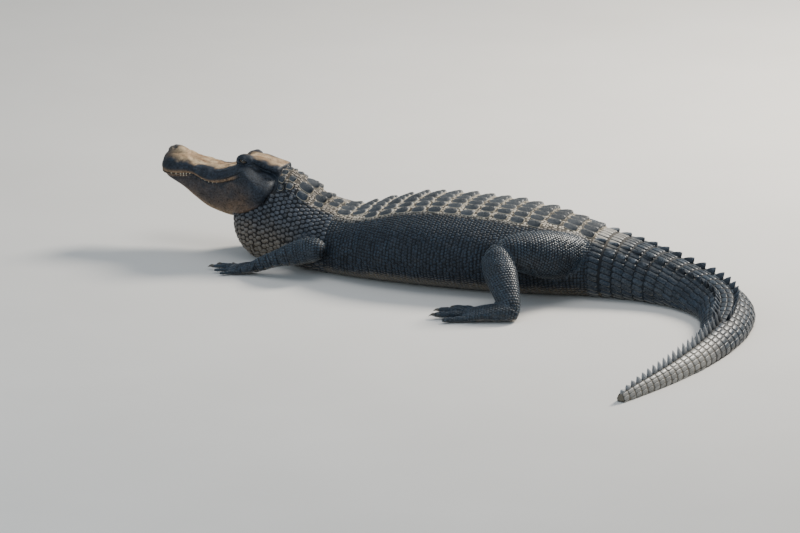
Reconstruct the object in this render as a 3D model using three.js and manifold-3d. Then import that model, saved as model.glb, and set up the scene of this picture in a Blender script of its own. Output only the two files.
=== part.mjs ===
// American alligator, adult, life size, resting on its belly with the head raised.
// Millimetres, +Z up. The animal faces -X, its left side faces -Y, the floor is z = 0.
import * as THREE from 'three';
import { mergeVertices } from 'three/addons/utils/BufferGeometryUtils.js';
import Module from 'manifold-3d';

const wasm = await Module();
wasm.setup();

// Driving dimensions
const HEAD_LENGTH = 380;
const HEAD_ORIGIN = [-513, 9, 169];
const HEAD_YAW = THREE.MathUtils.degToRad(8);
const HEAD_PITCH = THREE.MathUtils.degToRad(6);
const GAP = 0.3;
const CLEAR = GAP + 0.1;

// Where the body is divided, as distances along the spine from the middle of the trunk
const NECK_FRONT = -646;
const NECK_REAR = -402;
const VENT = 440;
const TORSO_CUTS = [NECK_REAR, -138, 152, VENT];
const TAIL_SHARES = [0, 0.14, 0.29, 0.45, 0.62, 0.8, 1];

// Rings round the body
const BODY_SIDES = 24;
const TAIL_SIDES = 12;
const RING_STEP = 48;
const WHORLS_PER_SEGMENT = [5, 5, 6, 7, 8, 10];
const WHORL_GROOVE = 0.035;

// Skin colours
const SLATE = new THREE.MeshStandardMaterial({ color: 0x2b3036, roughness: 0.55, metalness: 0 });
const DARK_SLATE = new THREE.MeshStandardMaterial({ color: 0x23282e, roughness: 0.5, metalness: 0 });
const JAW_BROWN = new THREE.MeshStandardMaterial({ color: 0x4a4238, roughness: 0.6, metalness: 0 });
const TAIL_GREY = new THREE.MeshStandardMaterial({ color: 0x3c4144, roughness: 0.6, metalness: 0 });
const CLAW_HORN = new THREE.MeshStandardMaterial({ color: 0x1d1b19, roughness: 0.35, metalness: 0 });
const EYE_GLOSS = new THREE.MeshStandardMaterial({ color: 0x3a3120, roughness: 0.08, metalness: 0 });

const alligator = new THREE.Group();

// Small tools

// A smooth curve through [place, value] pairs, level past both ends.
function profile(pairs) {
  const slope = (i) => {
    if (i === 0 || i === pairs.length - 1) return 0;
    const before = (pairs[i][1] - pairs[i - 1][1]) / (pairs[i][0] - pairs[i - 1][0]);
    const after = (pairs[i + 1][1] - pairs[i][1]) / (pairs[i + 1][0] - pairs[i][0]);
    return before * after <= 0 ? 0 : (2 * before * after) / (before + after);
  };
  return (place) => {
    if (place <= pairs[0][0]) return pairs[0][1];
    if (place >= pairs[pairs.length - 1][0]) return pairs[pairs.length - 1][1];
    const i = pairs.findIndex((pair) => pair[0] > place) - 1;
    const span = pairs[i + 1][0] - pairs[i][0];
    const t = (place - pairs[i][0]) / span;
    const [start, end] = [pairs[i][1], pairs[i + 1][1]];
    const bend = (t ** 3 - 2 * t ** 2 + t) * slope(i) + (t ** 3 - t ** 2) * slope(i + 1);
    return start + (end - start) * (3 * t ** 2 - 2 * t ** 3) + span * bend;
  };
}

const signedPower = (value, power) => Math.sign(value) * Math.abs(value) ** power;

// A closed body through rings of equal point counts, each ring anticlockwise seen from the far end.
function loft(rings) {
  const sides = rings[0].length;
  const positions = rings.flat().flatMap((point) => [point.x, point.y, point.z]);
  const middles = [rings[0], rings[rings.length - 1]].map((ring) => {
    const middle = ring.reduce((sum, point) => sum.add(point), new THREE.Vector3());
    return middle.divideScalar(sides);
  });
  middles.forEach((middle) => positions.push(middle.x, middle.y, middle.z));
  const startMiddle = rings.length * sides;
  const last = (rings.length - 1) * sides;
  const index = [];
  for (let k = 0; k < sides; k += 1) {
    const next = (k + 1) % sides;
    for (let r = 0; r < rings.length - 1; r += 1) {
      const here = r * sides;
      const there = here + sides;
      index.push(here + k, here + next, there + next);
      index.push(here + k, there + next, there + k);
    }
    index.push(startMiddle, next, k);
    index.push(startMiddle + 1, last + k, last + next);
  }
  const geometry = new THREE.BufferGeometry();
  geometry.setAttribute('position', new THREE.Float32BufferAttribute(positions, 3));
  geometry.setIndex(index);
  return geometry;
}

// A closed geometry as a solid for joins and cuts.
function solid(geometry) {
  const bare = geometry.clone();
  bare.deleteAttribute('normal');
  bare.deleteAttribute('uv');
  const merged = mergeVertices(bare, 1e-3);
  const triVerts = Uint32Array.from(merged.index.array);
  const vertProperties = Float32Array.from(merged.attributes.position.array);
  const made = new wasm.Manifold(new wasm.Mesh({ numProp: 3, vertProperties, triVerts }));
  if (made.volume() >= 0) return made;
  const flipped = triVerts.map((_, i) => triVerts[i - (i % 3) + [0, 2, 1][i % 3]]);
  return new wasm.Manifold(new wasm.Mesh({ numProp: 3, vertProperties, triVerts: flipped }));
}

// The largest closed body of a solid, as a geometry without the slivers of its joins.
const SLIVER = 0.1;
function largestBody(made) {
  const bodies = made.simplify(SLIVER).decompose().sort((a, b) => b.volume() - a.volume());
  const mesh = bodies[0].getMesh();
  const geometry = new THREE.BufferGeometry();
  geometry.setAttribute('position', new THREE.Float32BufferAttribute(mesh.vertProperties, 3));
  geometry.setIndex(new THREE.Uint32BufferAttribute(mesh.triVerts, 1));
  return geometry;
}

const joined = (solids) => solids.reduce((sum, next) => sum.add(next));

// Numbers between -1 and 1 that are the same on every run.
function seeded(seed) {
  let state = seed;
  return () => {
    state = (state * 1103515245 + 12345) % 2147483648;
    return state / 1073741824 - 1;
  };
}

function addMesh(name, geometry, material, parent = alligator) {
  const flat = geometry.index ? geometry.toNonIndexed() : geometry;
  flat.computeVertexNormals();
  const mesh = new THREE.Mesh(flat, material);
  mesh.name = name;
  parent.add(mesh);
  return mesh;
}

// The spine: a slight turn of the neck, a straight trunk, then the tail swings round to the left
const spine = new THREE.CatmullRomCurve3([
  [NECK_FRONT, 26],
  [-520, 9],
  [NECK_REAR, 0],
  [-138, 0],
  [152, 0],
  [VENT, 0],
  [583, -8],
  [728, -50],
  [844, -150],
  [899, -315],
  [908, -520],
  [882, -740],
  [822, -985],
].map(([x, y]) => new THREE.Vector3(x, y, 0)), false, 'centripetal');
spine.arcLengthDivisions = 1200;
const SPINE_LENGTH = spine.getLength();
const TAIL_TIP = NECK_FRONT + SPINE_LENGTH;
const TAIL_CUTS = TAIL_SHARES.map((share) => VENT + share * (TAIL_TIP - VENT));

// Place and heading of the spine at a distance along it.
function spineAt(along) {
  const share = THREE.MathUtils.clamp((along - NECK_FRONT) / SPINE_LENGTH, 0, 1);
  return { place: spine.getPointAt(share), heading: spine.getTangentAt(share) };
}

// Heights and half widths along the spine
const bodyTop = profile([
  [-646, 128], [-620, 190], [-580, 226], [-540, 230], [-500, 224], [-460, 211], [-400, 186], [-340, 168],
  [-290, 161], [-210, 179], [-95, 206], [0, 215], [140, 214], [320, 197], [440, 167], [570, 134],
  [740, 96], [940, 77], [1140, 65], [1340, 54], [1540, 43], [1700, 31], [1800, 18], [1840, 9],
]);
const bodyLow = profile([
  [-646, 88], [-634, 58], [-618, 34], [-600, 14], [-582, -2], [-560, -12],
  [-400, -16], [1700, -10], [1840, -2],
]);
const bodyHalf = profile([
  [-646, 30], [-628, 68], [-600, 96], [-560, 106], [-510, 112], [-460, 126], [-400, 146], [-320, 168],
  [-210, 200], [-95, 218], [0, 224], [120, 219], [240, 200], [340, 172], [440, 132], [560, 114],
  [740, 96], [940, 78], [1140, 62], [1340, 46], [1540, 30], [1690, 18], [1800, 8], [1840, 3],
]);
const widestShare = profile([[-646, 0.45], [-400, 0.42], [0, 0.44], [440, 0.44], [900, 0.36], [1840, 0.35]]);
const topRoundness = profile([[-646, 2.1], [-400, 2.1], [0, 2.15], [440, 2.05], [900, 1.75], [1840, 1.7]]);

// The body's section at a distance along the spine, grown by an allowance.
function bodyRing(along, sides, grown = 0, swell = 1) {
  const { place, heading } = spineAt(along);
  const side = new THREE.Vector3(-heading.y, heading.x, 0);
  const top = bodyTop(along) * swell + grown;
  const low = bodyLow(along) - grown;
  const half = bodyHalf(along) * swell + grown;
  const widest = low + (top - low) * widestShare(along);
  const ring = [];
  for (let k = 0; k < sides; k += 1) {
    const angle = (2 * Math.PI * (k + 0.5)) / sides;
    const up = Math.sin(angle) >= 0;
    const power = 2 / (up ? topRoundness(along) : 2.6);
    const across = half * signedPower(Math.cos(angle), power);
    const rise = (up ? top - widest : widest - low) * signedPower(Math.sin(angle), power);
    const floor = grown > 0 ? -grown : 0;
    ring.push(place.clone().addScaledVector(side, across).setZ(Math.max(floor, widest + rise)));
  }
  return ring;
}

// Ring places between two cuts, half the gap short of each.
function ringPlaces(from, to, step) {
  const count = Math.max(1, Math.round((to - from) / step));
  const places = [from + GAP / 2];
  for (let i = 1; i < count; i += 1) places.push(from + ((to - from) * i) / count);
  places.push(to - GAP / 2);
  return places;
}

// A place on the back: how far along the spine, and how far round the section from its middle line.
function backPlace(along, lateral) {
  const { place, heading } = spineAt(along);
  const side = new THREE.Vector3(-heading.y, heading.x, 0);
  const low = bodyLow(along);
  const widest = low + (bodyTop(along) - low) * widestShare(along);
  const power = 2 / topRoundness(along);
  const steps = 60;
  let across = 0;
  let height = bodyTop(along);
  let walked = 0;
  for (let i = 1; i <= steps && walked < Math.abs(lateral); i += 1) {
    const angle = (0.5 * Math.PI * i) / steps;
    const nextAcross = bodyHalf(along) * Math.sin(angle) ** power;
    const nextHeight = widest + (bodyTop(along) - widest) * Math.cos(angle) ** power;
    const stride = Math.hypot(nextAcross - across, nextHeight - height);
    const share = Math.min(1, (Math.abs(lateral) - walked) / stride);
    across += (nextAcross - across) * share;
    height += (nextHeight - height) * share;
    walked += stride;
  }
  return place.clone().addScaledVector(side, Math.sign(lateral) * across).setZ(height);
}

// A frame on the back: x towards the tail along the skin, y round to the right, z out of the skin.
function backFrame(along, lateral) {
  const rearward = backPlace(along + 8, lateral).sub(backPlace(along - 8, lateral)).normalize();
  const round = backPlace(along, lateral + 3).sub(backPlace(along, lateral - 3));
  round.addScaledVector(rearward, -rearward.dot(round)).normalize();
  const out = new THREE.Vector3().crossVectors(rearward, round);
  return new THREE.Matrix4().makeBasis(rearward, round, out).setPosition(backPlace(along, lateral));
}

// A raised form with a sunk foot: an outline, anticlockwise from above, under a roof up to a ridge.
function roofed(outline, { sink, rim, ridge, roof }) {
  const count = outline.length;
  const upper = outline.map(([x, y]) => [x, y, rim]);
  const lower = outline.map(([x, y]) => [x, y, -sink]);
  const points = [...upper, ...lower, ...ridge];
  const faces = [...roof];
  for (let i = 0; i < count; i += 1) {
    const next = (i + 1) % count;
    faces.push([count + i, count + next, next], [count + i, next, i]);
    if (i > 0 && i < count - 1) faces.push([count, count + i + 1, count + i]);
  }
  const geometry = new THREE.BufferGeometry();
  geometry.setAttribute('position', new THREE.Float32BufferAttribute(points.flat(), 3));
  geometry.setIndex(faces.flat());
  return solid(geometry);
}

// A keeled plate of the back, long along x, its keel rising to the rear.
const PLATE_SINK = 5;
const PLATE_RIM = 1.4;
const PLATE_OUTLINE = [[-0.5, -0.32], [0.05, -0.5], [0.5, -0.34], [0.5, 0.34], [0.05, 0.5], [-0.5, 0.32]];
function plate(length, width, height) {
  return roofed(PLATE_OUTLINE.map(([x, y]) => [x * length, y * width]), {
    sink: PLATE_SINK,
    rim: PLATE_RIM,
    ridge: [[-0.34 * length, 0, 0.45 * height], [0.38 * length, 0, height]],
    roof: [[0, 1, 12], [1, 13, 12], [1, 2, 13], [2, 3, 13], [3, 4, 13], [4, 12, 13], [4, 5, 12], [5, 0, 12]],
  });
}

// An upright fin of the tail's crest, long along x, its tip swept to the rear.
const FIN_SINK = 7;
const FIN_OUTLINE = [[-0.5, -0.5], [0.46, -0.5], [0.46, 0.5], [-0.5, 0.5]];
function fin(length, width, height) {
  return roofed(FIN_OUTLINE.map(([x, y]) => [x * length, y * width]), {
    sink: FIN_SINK,
    rim: 0.5,
    ridge: [[0.08 * length, 0, 0.74 * height], [0.46 * length, 0, height]],
    roof: [[0, 1, 9], [0, 9, 8], [1, 2, 9], [2, 3, 8], [2, 8, 9], [3, 0, 8]],
  });
}

const onBack = (form, along, lateral) => form.transform(backFrame(along, lateral).elements);

// The back's plates. A row is [distance along the spine, plates each side of the middle line].
const PLATE_ROWS = [
  [-299, 2], [-253, 2], [-207, 3], [-161, 3],
  [-114, 3], [-65.5, 3], [-17, 3], [31, 3], [79.5, 3], [128, 3],
  [176, 3], [224, 3], [272, 3], [320, 2], [368, 2], [416, 2],
];
const PLATE_PITCH = 36;
const PLATE_SIZE = [42, 33, 10.5];
const NARROWEST_BACK = 130;
const WIDEST_BACK = 224;

// The neck's larger plates: distance along the spine, distance from the middle line, length, width, height.
const NECK_PLATES = [
  [-497, 12, 17, 18, 8], [-494, 34, 17, 18, 8], [-488, 56, 16, 17, 7],
  [-470, 22, 19, 20, 9], [-466, 46, 18, 19, 8],
  [-428, 21, 40, 34, 18], [-424, 54, 32, 26, 13],
];
const SHOULDER_PLATES = [[-381, 20, 34, 32, 17], [-377, 50, 28, 24, 11], [-342, 17, 30, 27, 12]];

function backPlates(from, to) {
  const vary = seeded(Math.round(from) + 5000);
  const plates = [];
  PLATE_ROWS.filter(([along]) => along > from && along < to).forEach(([along, perSide]) => {
    const share = (bodyHalf(along) - NARROWEST_BACK) / (WIDEST_BACK - NARROWEST_BACK);
    const pitch = PLATE_PITCH * (0.84 + 0.16 * share);
    const [length, width, height] = PLATE_SIZE;
    for (let i = 0; i < perSide; i += 1) {
      [-1, 1].forEach((side) => {
        const high = height * (1 + 0.12 * vary());
        const form = plate(length * (1 - 0.05 * i), (width * pitch) / PLATE_PITCH, high);
        plates.push(onBack(form, along + vary(), side * pitch * (i + 0.5)));
      });
    }
  });
  return plates;
}

function pairedPlates(table) {
  const both = table.flatMap((row) => [[...row, 1], [...row, -1]]);
  return both.map(([along, lateral, length, width, height, side]) => (
    onBack(plate(length, width, height), along, side * lateral)));
}

// Trunk
const trunkPlaces = TORSO_CUTS.slice(1).map((to, i) => ringPlaces(TORSO_CUTS[i], to, RING_STEP));
const torsoNames = ['torso_front', 'torso_middle', 'torso_rear'];
torsoNames.forEach((name, i) => {
  const rings = trunkPlaces[i].map((along) => bodyRing(along, BODY_SIDES));
  const plates = backPlates(TORSO_CUTS[i], TORSO_CUTS[i + 1]);
  if (i === 0) plates.push(...pairedPlates(SHOULDER_PLATES));
  addMesh(name, largestBody(joined([solid(loft(rings)), ...plates])), SLATE);
});

// The whole trunk, neck and tail root grown by the gap, which the limbs are cut back from.
const neckPlaces = ringPlaces(NECK_FRONT, NECK_REAR, 27);
const trunkClearance = solid(loft([
  ...neckPlaces,
  ...trunkPlaces.flat(),
  ...ringPlaces(VENT, TAIL_CUTS[1], RING_STEP),
].map((along) => bodyRing(along, BODY_SIDES, CLEAR))));

// Tail. Its crest is double over the first whorls, then single to the tip.
const DOUBLE_WHORLS = 19;
const doubleHeight = profile([[0, 11], [8, 19], [14, 27], [19, 33]]);
const singleHeight = profile([[19, 36], [25, 35], [31, 29], [37, 19], [41, 8]]);
const SIDE_ROW_WHORLS = 5;

function crestForms(whorl, along, pitch) {
  const length = pitch * 0.82;
  if (whorl < DOUBLE_WHORLS) {
    const height = doubleHeight(whorl);
    const lateral = bodyHalf(along) * (0.44 - 0.16 * (whorl / DOUBLE_WHORLS));
    const forms = [-1, 1].map((side) => onBack(fin(length, 11, height), along, side * lateral));
    if (whorl === 0 || whorl >= SIDE_ROW_WHORLS) return forms;
    return [...forms, ...[-1, 1].map((side) => onBack(plate(length, 22, 8), along, side * lateral * 1.7))];
  }
  const height = singleHeight(whorl);
  return [onBack(fin(length, Math.min(10, bodyHalf(along)), height), along, 0)];
}

let firstWhorl = 0;
TAIL_CUTS.slice(1).forEach((to, i) => {
  const from = TAIL_CUTS[i];
  const whorls = WHORLS_PER_SEGMENT[i];
  const rings = [];
  const sides = i === 0 ? BODY_SIDES : TAIL_SIDES;
  for (let w = 0; w <= 2 * whorls; w += 1) {
    const inset = w === 0 ? GAP / 2 : w === 2 * whorls ? -GAP / 2 : 0;
    const along = from + ((to - from) * w) / (2 * whorls) + inset;
    rings.push(bodyRing(along, sides, 0, w % 2 === 0 ? 1 - WHORL_GROOVE : 1));
  }
  const pitch = (to - from) / whorls;
  const crest = [];
  for (let w = 0; w < whorls; w += 1) {
    crest.push(...crestForms(firstWhorl + w, from + (w + 0.5) * pitch, pitch));
  }
  firstWhorl += whorls;
  addMesh(`tail_${i + 1}`, largestBody(joined([solid(loft(rings)), ...crest])), TAIL_GREY);
});

// Head, in its own frame: x forward from the back of the skull, y to the left, z up from the lip line
const headFrame = new THREE.Group();
const forward = new THREE.Vector3(
  -Math.cos(HEAD_YAW) * Math.cos(HEAD_PITCH),
  Math.sin(HEAD_YAW) * Math.cos(HEAD_PITCH),
  Math.sin(HEAD_PITCH),
);
const leftward = new THREE.Vector3(-Math.sin(HEAD_YAW), -Math.cos(HEAD_YAW), 0);
const upward = new THREE.Vector3().crossVectors(forward, leftward);
headFrame.matrix.makeBasis(forward, leftward, upward).setPosition(...HEAD_ORIGIN);
headFrame.matrix.decompose(headFrame.position, headFrame.quaternion, headFrame.scale);
alligator.add(headFrame);

const HEAD_REAR = -0.05;
const HEAD_PLACES = [
  HEAD_REAR, 0, 0.05, 0.1, 0.155, 0.21, 0.265, 0.32, 0.38, 0.44, 0.5, 0.56, 0.62, 0.68,
  0.74, 0.8, 0.85, 0.9, 0.94, 0.97, 0.99, 1,
];
const lipHalf = profile([
  [-0.05, 0.225], [0.05, 0.245], [0.14, 0.252], [0.22, 0.24], [0.32, 0.215], [0.44, 0.19],
  [0.55, 0.175], [0.66, 0.158], [0.74, 0.148], [0.82, 0.145], [0.9, 0.138], [0.94, 0.122],
  [0.97, 0.095], [0.99, 0.058], [1, 0.02],
]);
const snoutTop = profile([
  [-0.05, 0.15], [0.03, 0.18], [0.12, 0.2], [0.24, 0.222], [0.32, 0.21], [0.4, 0.165], [0.5, 0.135],
  [0.6, 0.133], [0.72, 0.142], [0.85, 0.155], [0.93, 0.15], [0.97, 0.13], [0.99, 0.1], [1, 0.075],
]);
const mouthLine = profile([
  [-0.05, 0.02], [0.04, 0.06], [0.12, 0.13], [0.2, 0.165], [0.3, 0.112], [0.42, 0.05], [0.53, 0.024],
  [0.6, 0.03], [0.68, 0.045], [0.74, 0.036], [0.8, 0.02], [0.88, 0.004], [0.95, 0], [1, 0.012],
]);
const jawHalf = profile([
  [-0.05, 0.17], [0.02, 0.225], [0.1, 0.25], [0.18, 0.255], [0.26, 0.24], [0.36, 0.202], [0.46, 0.168],
  [0.56, 0.15], [0.68, 0.134], [0.82, 0.12], [0.9, 0.11], [0.94, 0.09], [0.97, 0.055], [1, 0.012],
]);
const jawBottom = profile([
  [-0.05, 0.0], [0, -0.02], [0.05, -0.065], [0.11, -0.125], [0.18, -0.18], [0.27, -0.215], [0.4, -0.232],
  [0.55, -0.218], [0.68, -0.17], [0.8, -0.105], [0.88, -0.075], [0.93, -0.055], [0.97, -0.02], [1, 0.005],
]);
const headBoxiness = profile([[-0.05, 1.8], [0.1, 1.9], [0.3, 2.2], [0.5, 2.6], [1, 2.6]]);
const HEAD_ARC = 12;
const JAW_ARC = 10;

// One arch of a head section from the left lip over to the right one, above or below the mouth line.
function headRing(share, { half, peak, base, arc, roundness }) {
  const ring = [];
  for (let k = 0; k <= arc; k += 1) {
    const angle = (Math.PI * k) / arc;
    ring.push(new THREE.Vector3(
      share * HEAD_LENGTH,
      half * HEAD_LENGTH * signedPower(Math.cos(angle), 2 / roundness),
      HEAD_LENGTH * (base + (peak - base) * Math.abs(Math.sin(angle)) ** (2 / roundness)),
    ));
  }
  return ring;
}

function upperRing(share, grown = 0) {
  return headRing(share, {
    half: lipHalf(share) + grown,
    peak: snoutTop(share) + grown,
    base: mouthLine(share) - grown,
    arc: HEAD_ARC,
    roundness: headBoxiness(share),
  });
}

function lowerRing(share, grown = 0) {
  return headRing(share, {
    half: jawHalf(share) + grown,
    peak: jawBottom(share) - grown,
    base: mouthLine(share) - GAP / HEAD_LENGTH + grown,
    arc: JAW_ARC,
    roundness: 2.4,
  });
}

function ellipsoid([x, y, z], [rx, ry, rz], segments = 12) {
  const geometry = new THREE.SphereGeometry(1, segments, Math.round(segments * 0.6));
  geometry.scale(rx, ry, rz);
  geometry.translate(x, y, z);
  return geometry;
}

const EYE_PLACE = [0.285 * HEAD_LENGTH, 37, 88];
const EYE_RADIUS = 14;
const EYE_SOCKET = EYE_RADIUS + 0.35;
const LID_OPENING = [0.285 * HEAD_LENGTH, 54, 90];
const LID_OPENING_SIZE = [13, 13, 7.5];
const BROW_PLACE = [0.28 * HEAD_LENGTH, 29, 83];
const BROW_SIZE = [32, 22, 26];
const SIDES = [['left', 1], ['right', -1]];
const mirrored = ([x, y, z], side) => [x, y * side, z];

// The flat skull table behind the eyes, a block that overhangs the ear slits.
function skullTable(grown = 0) {
  const rings = [[-0.012, 40, 0.235], [0, 45, 0.25], [0.1, 43, 0.262], [0.2, 38, 0.275], [0.27, 30, 0.268]];
  return loft(rings.map(([share, half, top], i) => {
    const ring = [];
    for (let k = 0; k < 12; k += 1) {
      const angle = (2 * Math.PI * (k + 0.5)) / 12;
      ring.push(new THREE.Vector3(
        share * HEAD_LENGTH - (i === 0 ? grown : 0),
        (half + grown) * signedPower(Math.cos(angle), 0.45),
        HEAD_LENGTH * (top - 0.035) + (0.035 * HEAD_LENGTH + grown) * signedPower(Math.sin(angle), 0.6),
      ));
    }
    return ring;
  }));
}

// Teeth of the upper jaw that stand outside the lower lip: share of the head's length, length below the lip.
const TEETH = [
  [0.87, 5], [0.83, 6], [0.79, 8], [0.765, 9], [0.74, 8], [0.71, 6],
  [0.6, 4], [0.565, 5], [0.53, 6], [0.495, 5.5], [0.46, 4],
];
const TOOTH_RADIUS = 3;
const TOOTH_ROOT = 7;
const TOOTH_SIDES = 4;

function tooth([share, length], side) {
  const lip = mouthLine(share) * HEAD_LENGTH;
  const across = side * (lipHalf(share) * HEAD_LENGTH - TOOTH_RADIUS - 1);
  const heights = [[TOOTH_ROOT, 0.8], [0, 1], [-length, 0.16]];
  return solid(loft(heights.map(([rise, size]) => {
    const ring = [];
    for (let k = 0; k < TOOTH_SIDES; k += 1) {
      const angle = (2 * Math.PI * k) / TOOTH_SIDES;
      const x = share * HEAD_LENGTH + TOOTH_RADIUS * size * Math.cos(angle);
      ring.push(new THREE.Vector3(x, across + TOOTH_RADIUS * size * Math.sin(angle), lip + rise));
    }
    return ring;
  })));
}

const NOSTRIL_BUMP = [0.885 * HEAD_LENGTH, 0, 52];
const NOSTRIL_BUMP_SIZE = [36, 27, 17];
const NOSTRIL = [0.915 * HEAD_LENGTH, 12, 68];
const NOSTRIL_SIZE = [7, 4.5, 5];
const EAR_SLIT = [0.12 * HEAD_LENGTH, 45, 83];
const EAR_SLIT_SIZE = [34, 6, 3.5];
const upperBlank = joined([
  solid(loft(HEAD_PLACES.map((share) => upperRing(share)))),
  solid(skullTable()),
  solid(ellipsoid(NOSTRIL_BUMP, NOSTRIL_BUMP_SIZE, 10)),
  ...SIDES.map(([, side]) => solid(ellipsoid(mirrored(BROW_PLACE, side), BROW_SIZE, 11))),
  ...SIDES.flatMap(([, side]) => TEETH.map((row) => tooth(row, side))),
]);
const headCuts = SIDES.map(([, side]) => joined([
  solid(ellipsoid(mirrored(EYE_PLACE, side), [EYE_SOCKET, EYE_SOCKET, EYE_SOCKET], 14)),
  solid(ellipsoid(mirrored(LID_OPENING, side), LID_OPENING_SIZE, 10)),
  solid(ellipsoid(mirrored(NOSTRIL, side), NOSTRIL_SIZE, 6)),
  solid(ellipsoid(mirrored(EAR_SLIT, side), EAR_SLIT_SIZE, 8)),
]));
addMesh('head_upper', largestBody(upperBlank.subtract(joined(headCuts))), DARK_SLATE, headFrame);
const lowerBlank = solid(loft(HEAD_PLACES.map((share) => lowerRing(share))));
addMesh('lower_jaw', largestBody(lowerBlank), JAW_BROWN, headFrame);
SIDES.forEach(([name, side]) => {
  const eye = addMesh(`eye_${name}`, new THREE.SphereGeometry(EYE_RADIUS, 14, 8), EYE_GLOSS, headFrame);
  eye.position.set(...mirrored(EYE_PLACE, side));
});

// The head grown by the gap, which the neck is cut back from.
const GROWN = CLEAR / HEAD_LENGTH;
const clearancePlaces = [HEAD_REAR - GROWN, ...HEAD_PLACES.slice(1)];
const headClearance = joined([
  solid(loft(clearancePlaces.map((share) => upperRing(share, GROWN)))),
  solid(loft(clearancePlaces.map((share) => lowerRing(share, GROWN)))),
  solid(skullTable(CLEAR)),
]);

// Neck, cut back from the head
headFrame.updateMatrix();
const neckBlank = solid(loft(neckPlaces.map((along) => bodyRing(along, BODY_SIDES))));
const headInPlace = headClearance.transform(headFrame.matrix.elements);
const neckWhole = joined([neckBlank, ...pairedPlates(NECK_PLATES)]);
addMesh('neck', largestBody(neckWhole.subtract(headInPlace)), SLATE);

// Limbs

// A tube of oval sections through stations [x, y, z, half width, half thickness], flat side along `flat`.
function limbTube(stations, flat, { sides = 10, grown = 0, ends = 0 } = {}) {
  const places = stations.map(([x, y, z]) => new THREE.Vector3(x, y, z));
  const rings = stations.map(([, , , wide, thick], i) => {
    const before = places[Math.max(0, i - 1)];
    const after = places[Math.min(places.length - 1, i + 1)];
    const along = after.clone().sub(before).normalize();
    const across = flat.clone().addScaledVector(along, -flat.dot(along)).normalize();
    const up = new THREE.Vector3().crossVectors(along, across);
    const shift = i === 0 ? -ends : i === places.length - 1 ? ends : 0;
    const ring = [];
    for (let k = 0; k < sides; k += 1) {
      const angle = (2 * Math.PI * (k + 0.5)) / sides;
      const point = places[i].clone().addScaledVector(along, shift);
      point.addScaledVector(across, (wide + grown) * Math.cos(angle));
      point.addScaledVector(up, (thick + grown) * Math.sin(angle));
      point.z = Math.max(grown > 0 ? -grown : 0, point.z);
      ring.push(point);
    }
    return ring;
  });
  return loft(rings);
}

const ALONG_FLOOR = new THREE.Vector3(0, 1, 0);
const UPRIGHT = new THREE.Vector3(0, 0, 1);
const LEAN_OUT = new THREE.Vector3(1, 0, 0);

const LIMBS = {
  fore_left: {
    upperName: 'upper_arm_left',
    lowerName: 'forearm_left',
    upper: [
      [-398, -60, 70, 38, 40], [-390, -108, 70, 40, 42], [-372, -148, 72, 37, 38],
      [-352, -178, 76, 31, 33], [-345, -188, 78, 22, 24],
    ],
    lower: [
      [-311, -186, 84, 13, 12], [-319, -187, 85, 25, 25], [-341, -190, 84, 34, 34], [-385, -197, 73, 35, 33],
      [-434, -205, 57, 30, 27], [-480, -211, 37, 26, 20], [-514, -214, 21, 21, 13],
    ],
  },
  fore_right: {
    upperName: 'upper_arm_right',
    lowerName: 'forearm_right',
    upper: [
      [-392, 60, 104, 42, 42], [-380, 118, 98, 44, 44], [-366, 160, 86, 39, 39],
      [-350, 192, 74, 33, 33], [-344, 204, 70, 24, 24],
    ],
    lower: [
      [-326, 205, 72, 13, 12], [-333, 207, 73, 24, 24], [-350, 210, 70, 31, 31], [-388, 219, 60, 33, 31],
      [-430, 230, 47, 29, 27], [-466, 240, 32, 25, 19], [-494, 248, 20, 21, 13],
    ],
  },
  hind_left: {
    upperName: 'thigh_left',
    lowerName: 'shank_left',
    upper: [
      [394, -60, 106, 48, 54], [368, -110, 116, 56, 64], [332, -162, 130, 56, 66],
      [288, -208, 143, 50, 58], [252, -240, 148, 42, 47], [226, -258, 148, 34, 34],
    ],
    lower: [
      [202, -262, 160, 18, 16], [212, -264, 152, 33, 31], [227, -276, 136, 44, 38], [248, -303, 110, 47, 38],
      [270, -334, 84, 42, 34], [290, -362, 57, 36, 30], [304, -384, 34, 31, 25], [308, -392, 24, 27, 20],
    ],
  },
  hind_right: {
    upperName: 'thigh_right',
    lowerName: 'shank_right',
    upper: [
      [402, 60, 92, 52, 60], [378, 110, 92, 58, 62], [340, 160, 90, 54, 56],
      [296, 204, 84, 46, 48], [262, 234, 80, 40, 42], [242, 248, 78, 32, 34],
    ],
    lower: [
      [218, 252, 86, 18, 16], [226, 256, 84, 30, 28], [240, 270, 78, 38, 33], [262, 300, 66, 39, 33],
      [286, 332, 50, 35, 29], [306, 360, 34, 30, 24], [314, 372, 24, 26, 20],
    ],
  },
};

// Frame of a foot at its root: x forward along the foot, y to its outer side.
function footFrame([x, y], heading, mirror) {
  const forwardAxis = new THREE.Vector3(Math.cos(heading), Math.sin(heading), 0);
  const outward = new THREE.Vector3(-forwardAxis.y, forwardAxis.x, 0).multiplyScalar(mirror);
  return new THREE.Matrix4().makeBasis(forwardAxis, outward, UPRIGHT).setPosition(x, y, 0);
}

// One toe from the palm out to where its claw starts, its last stretch level.
function toeStations({ root, spread, length, radius, arch }) {
  const stations = [-0.25, 0.2, 0.62, 1].map((t) => {
    const thick = radius * (1 - 0.38 * Math.max(0, t));
    const lift = arch * Math.sin(Math.PI * Math.max(0, t));
    const x = root[0] + length * t * Math.cos(spread);
    const y = root[1] + length * t * Math.sin(spread);
    return [x, y, 0.9 * thick + lift, thick, 0.9 * thick];
  });
  stations[3][2] = stations[2][2];
  return stations;
}

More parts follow.
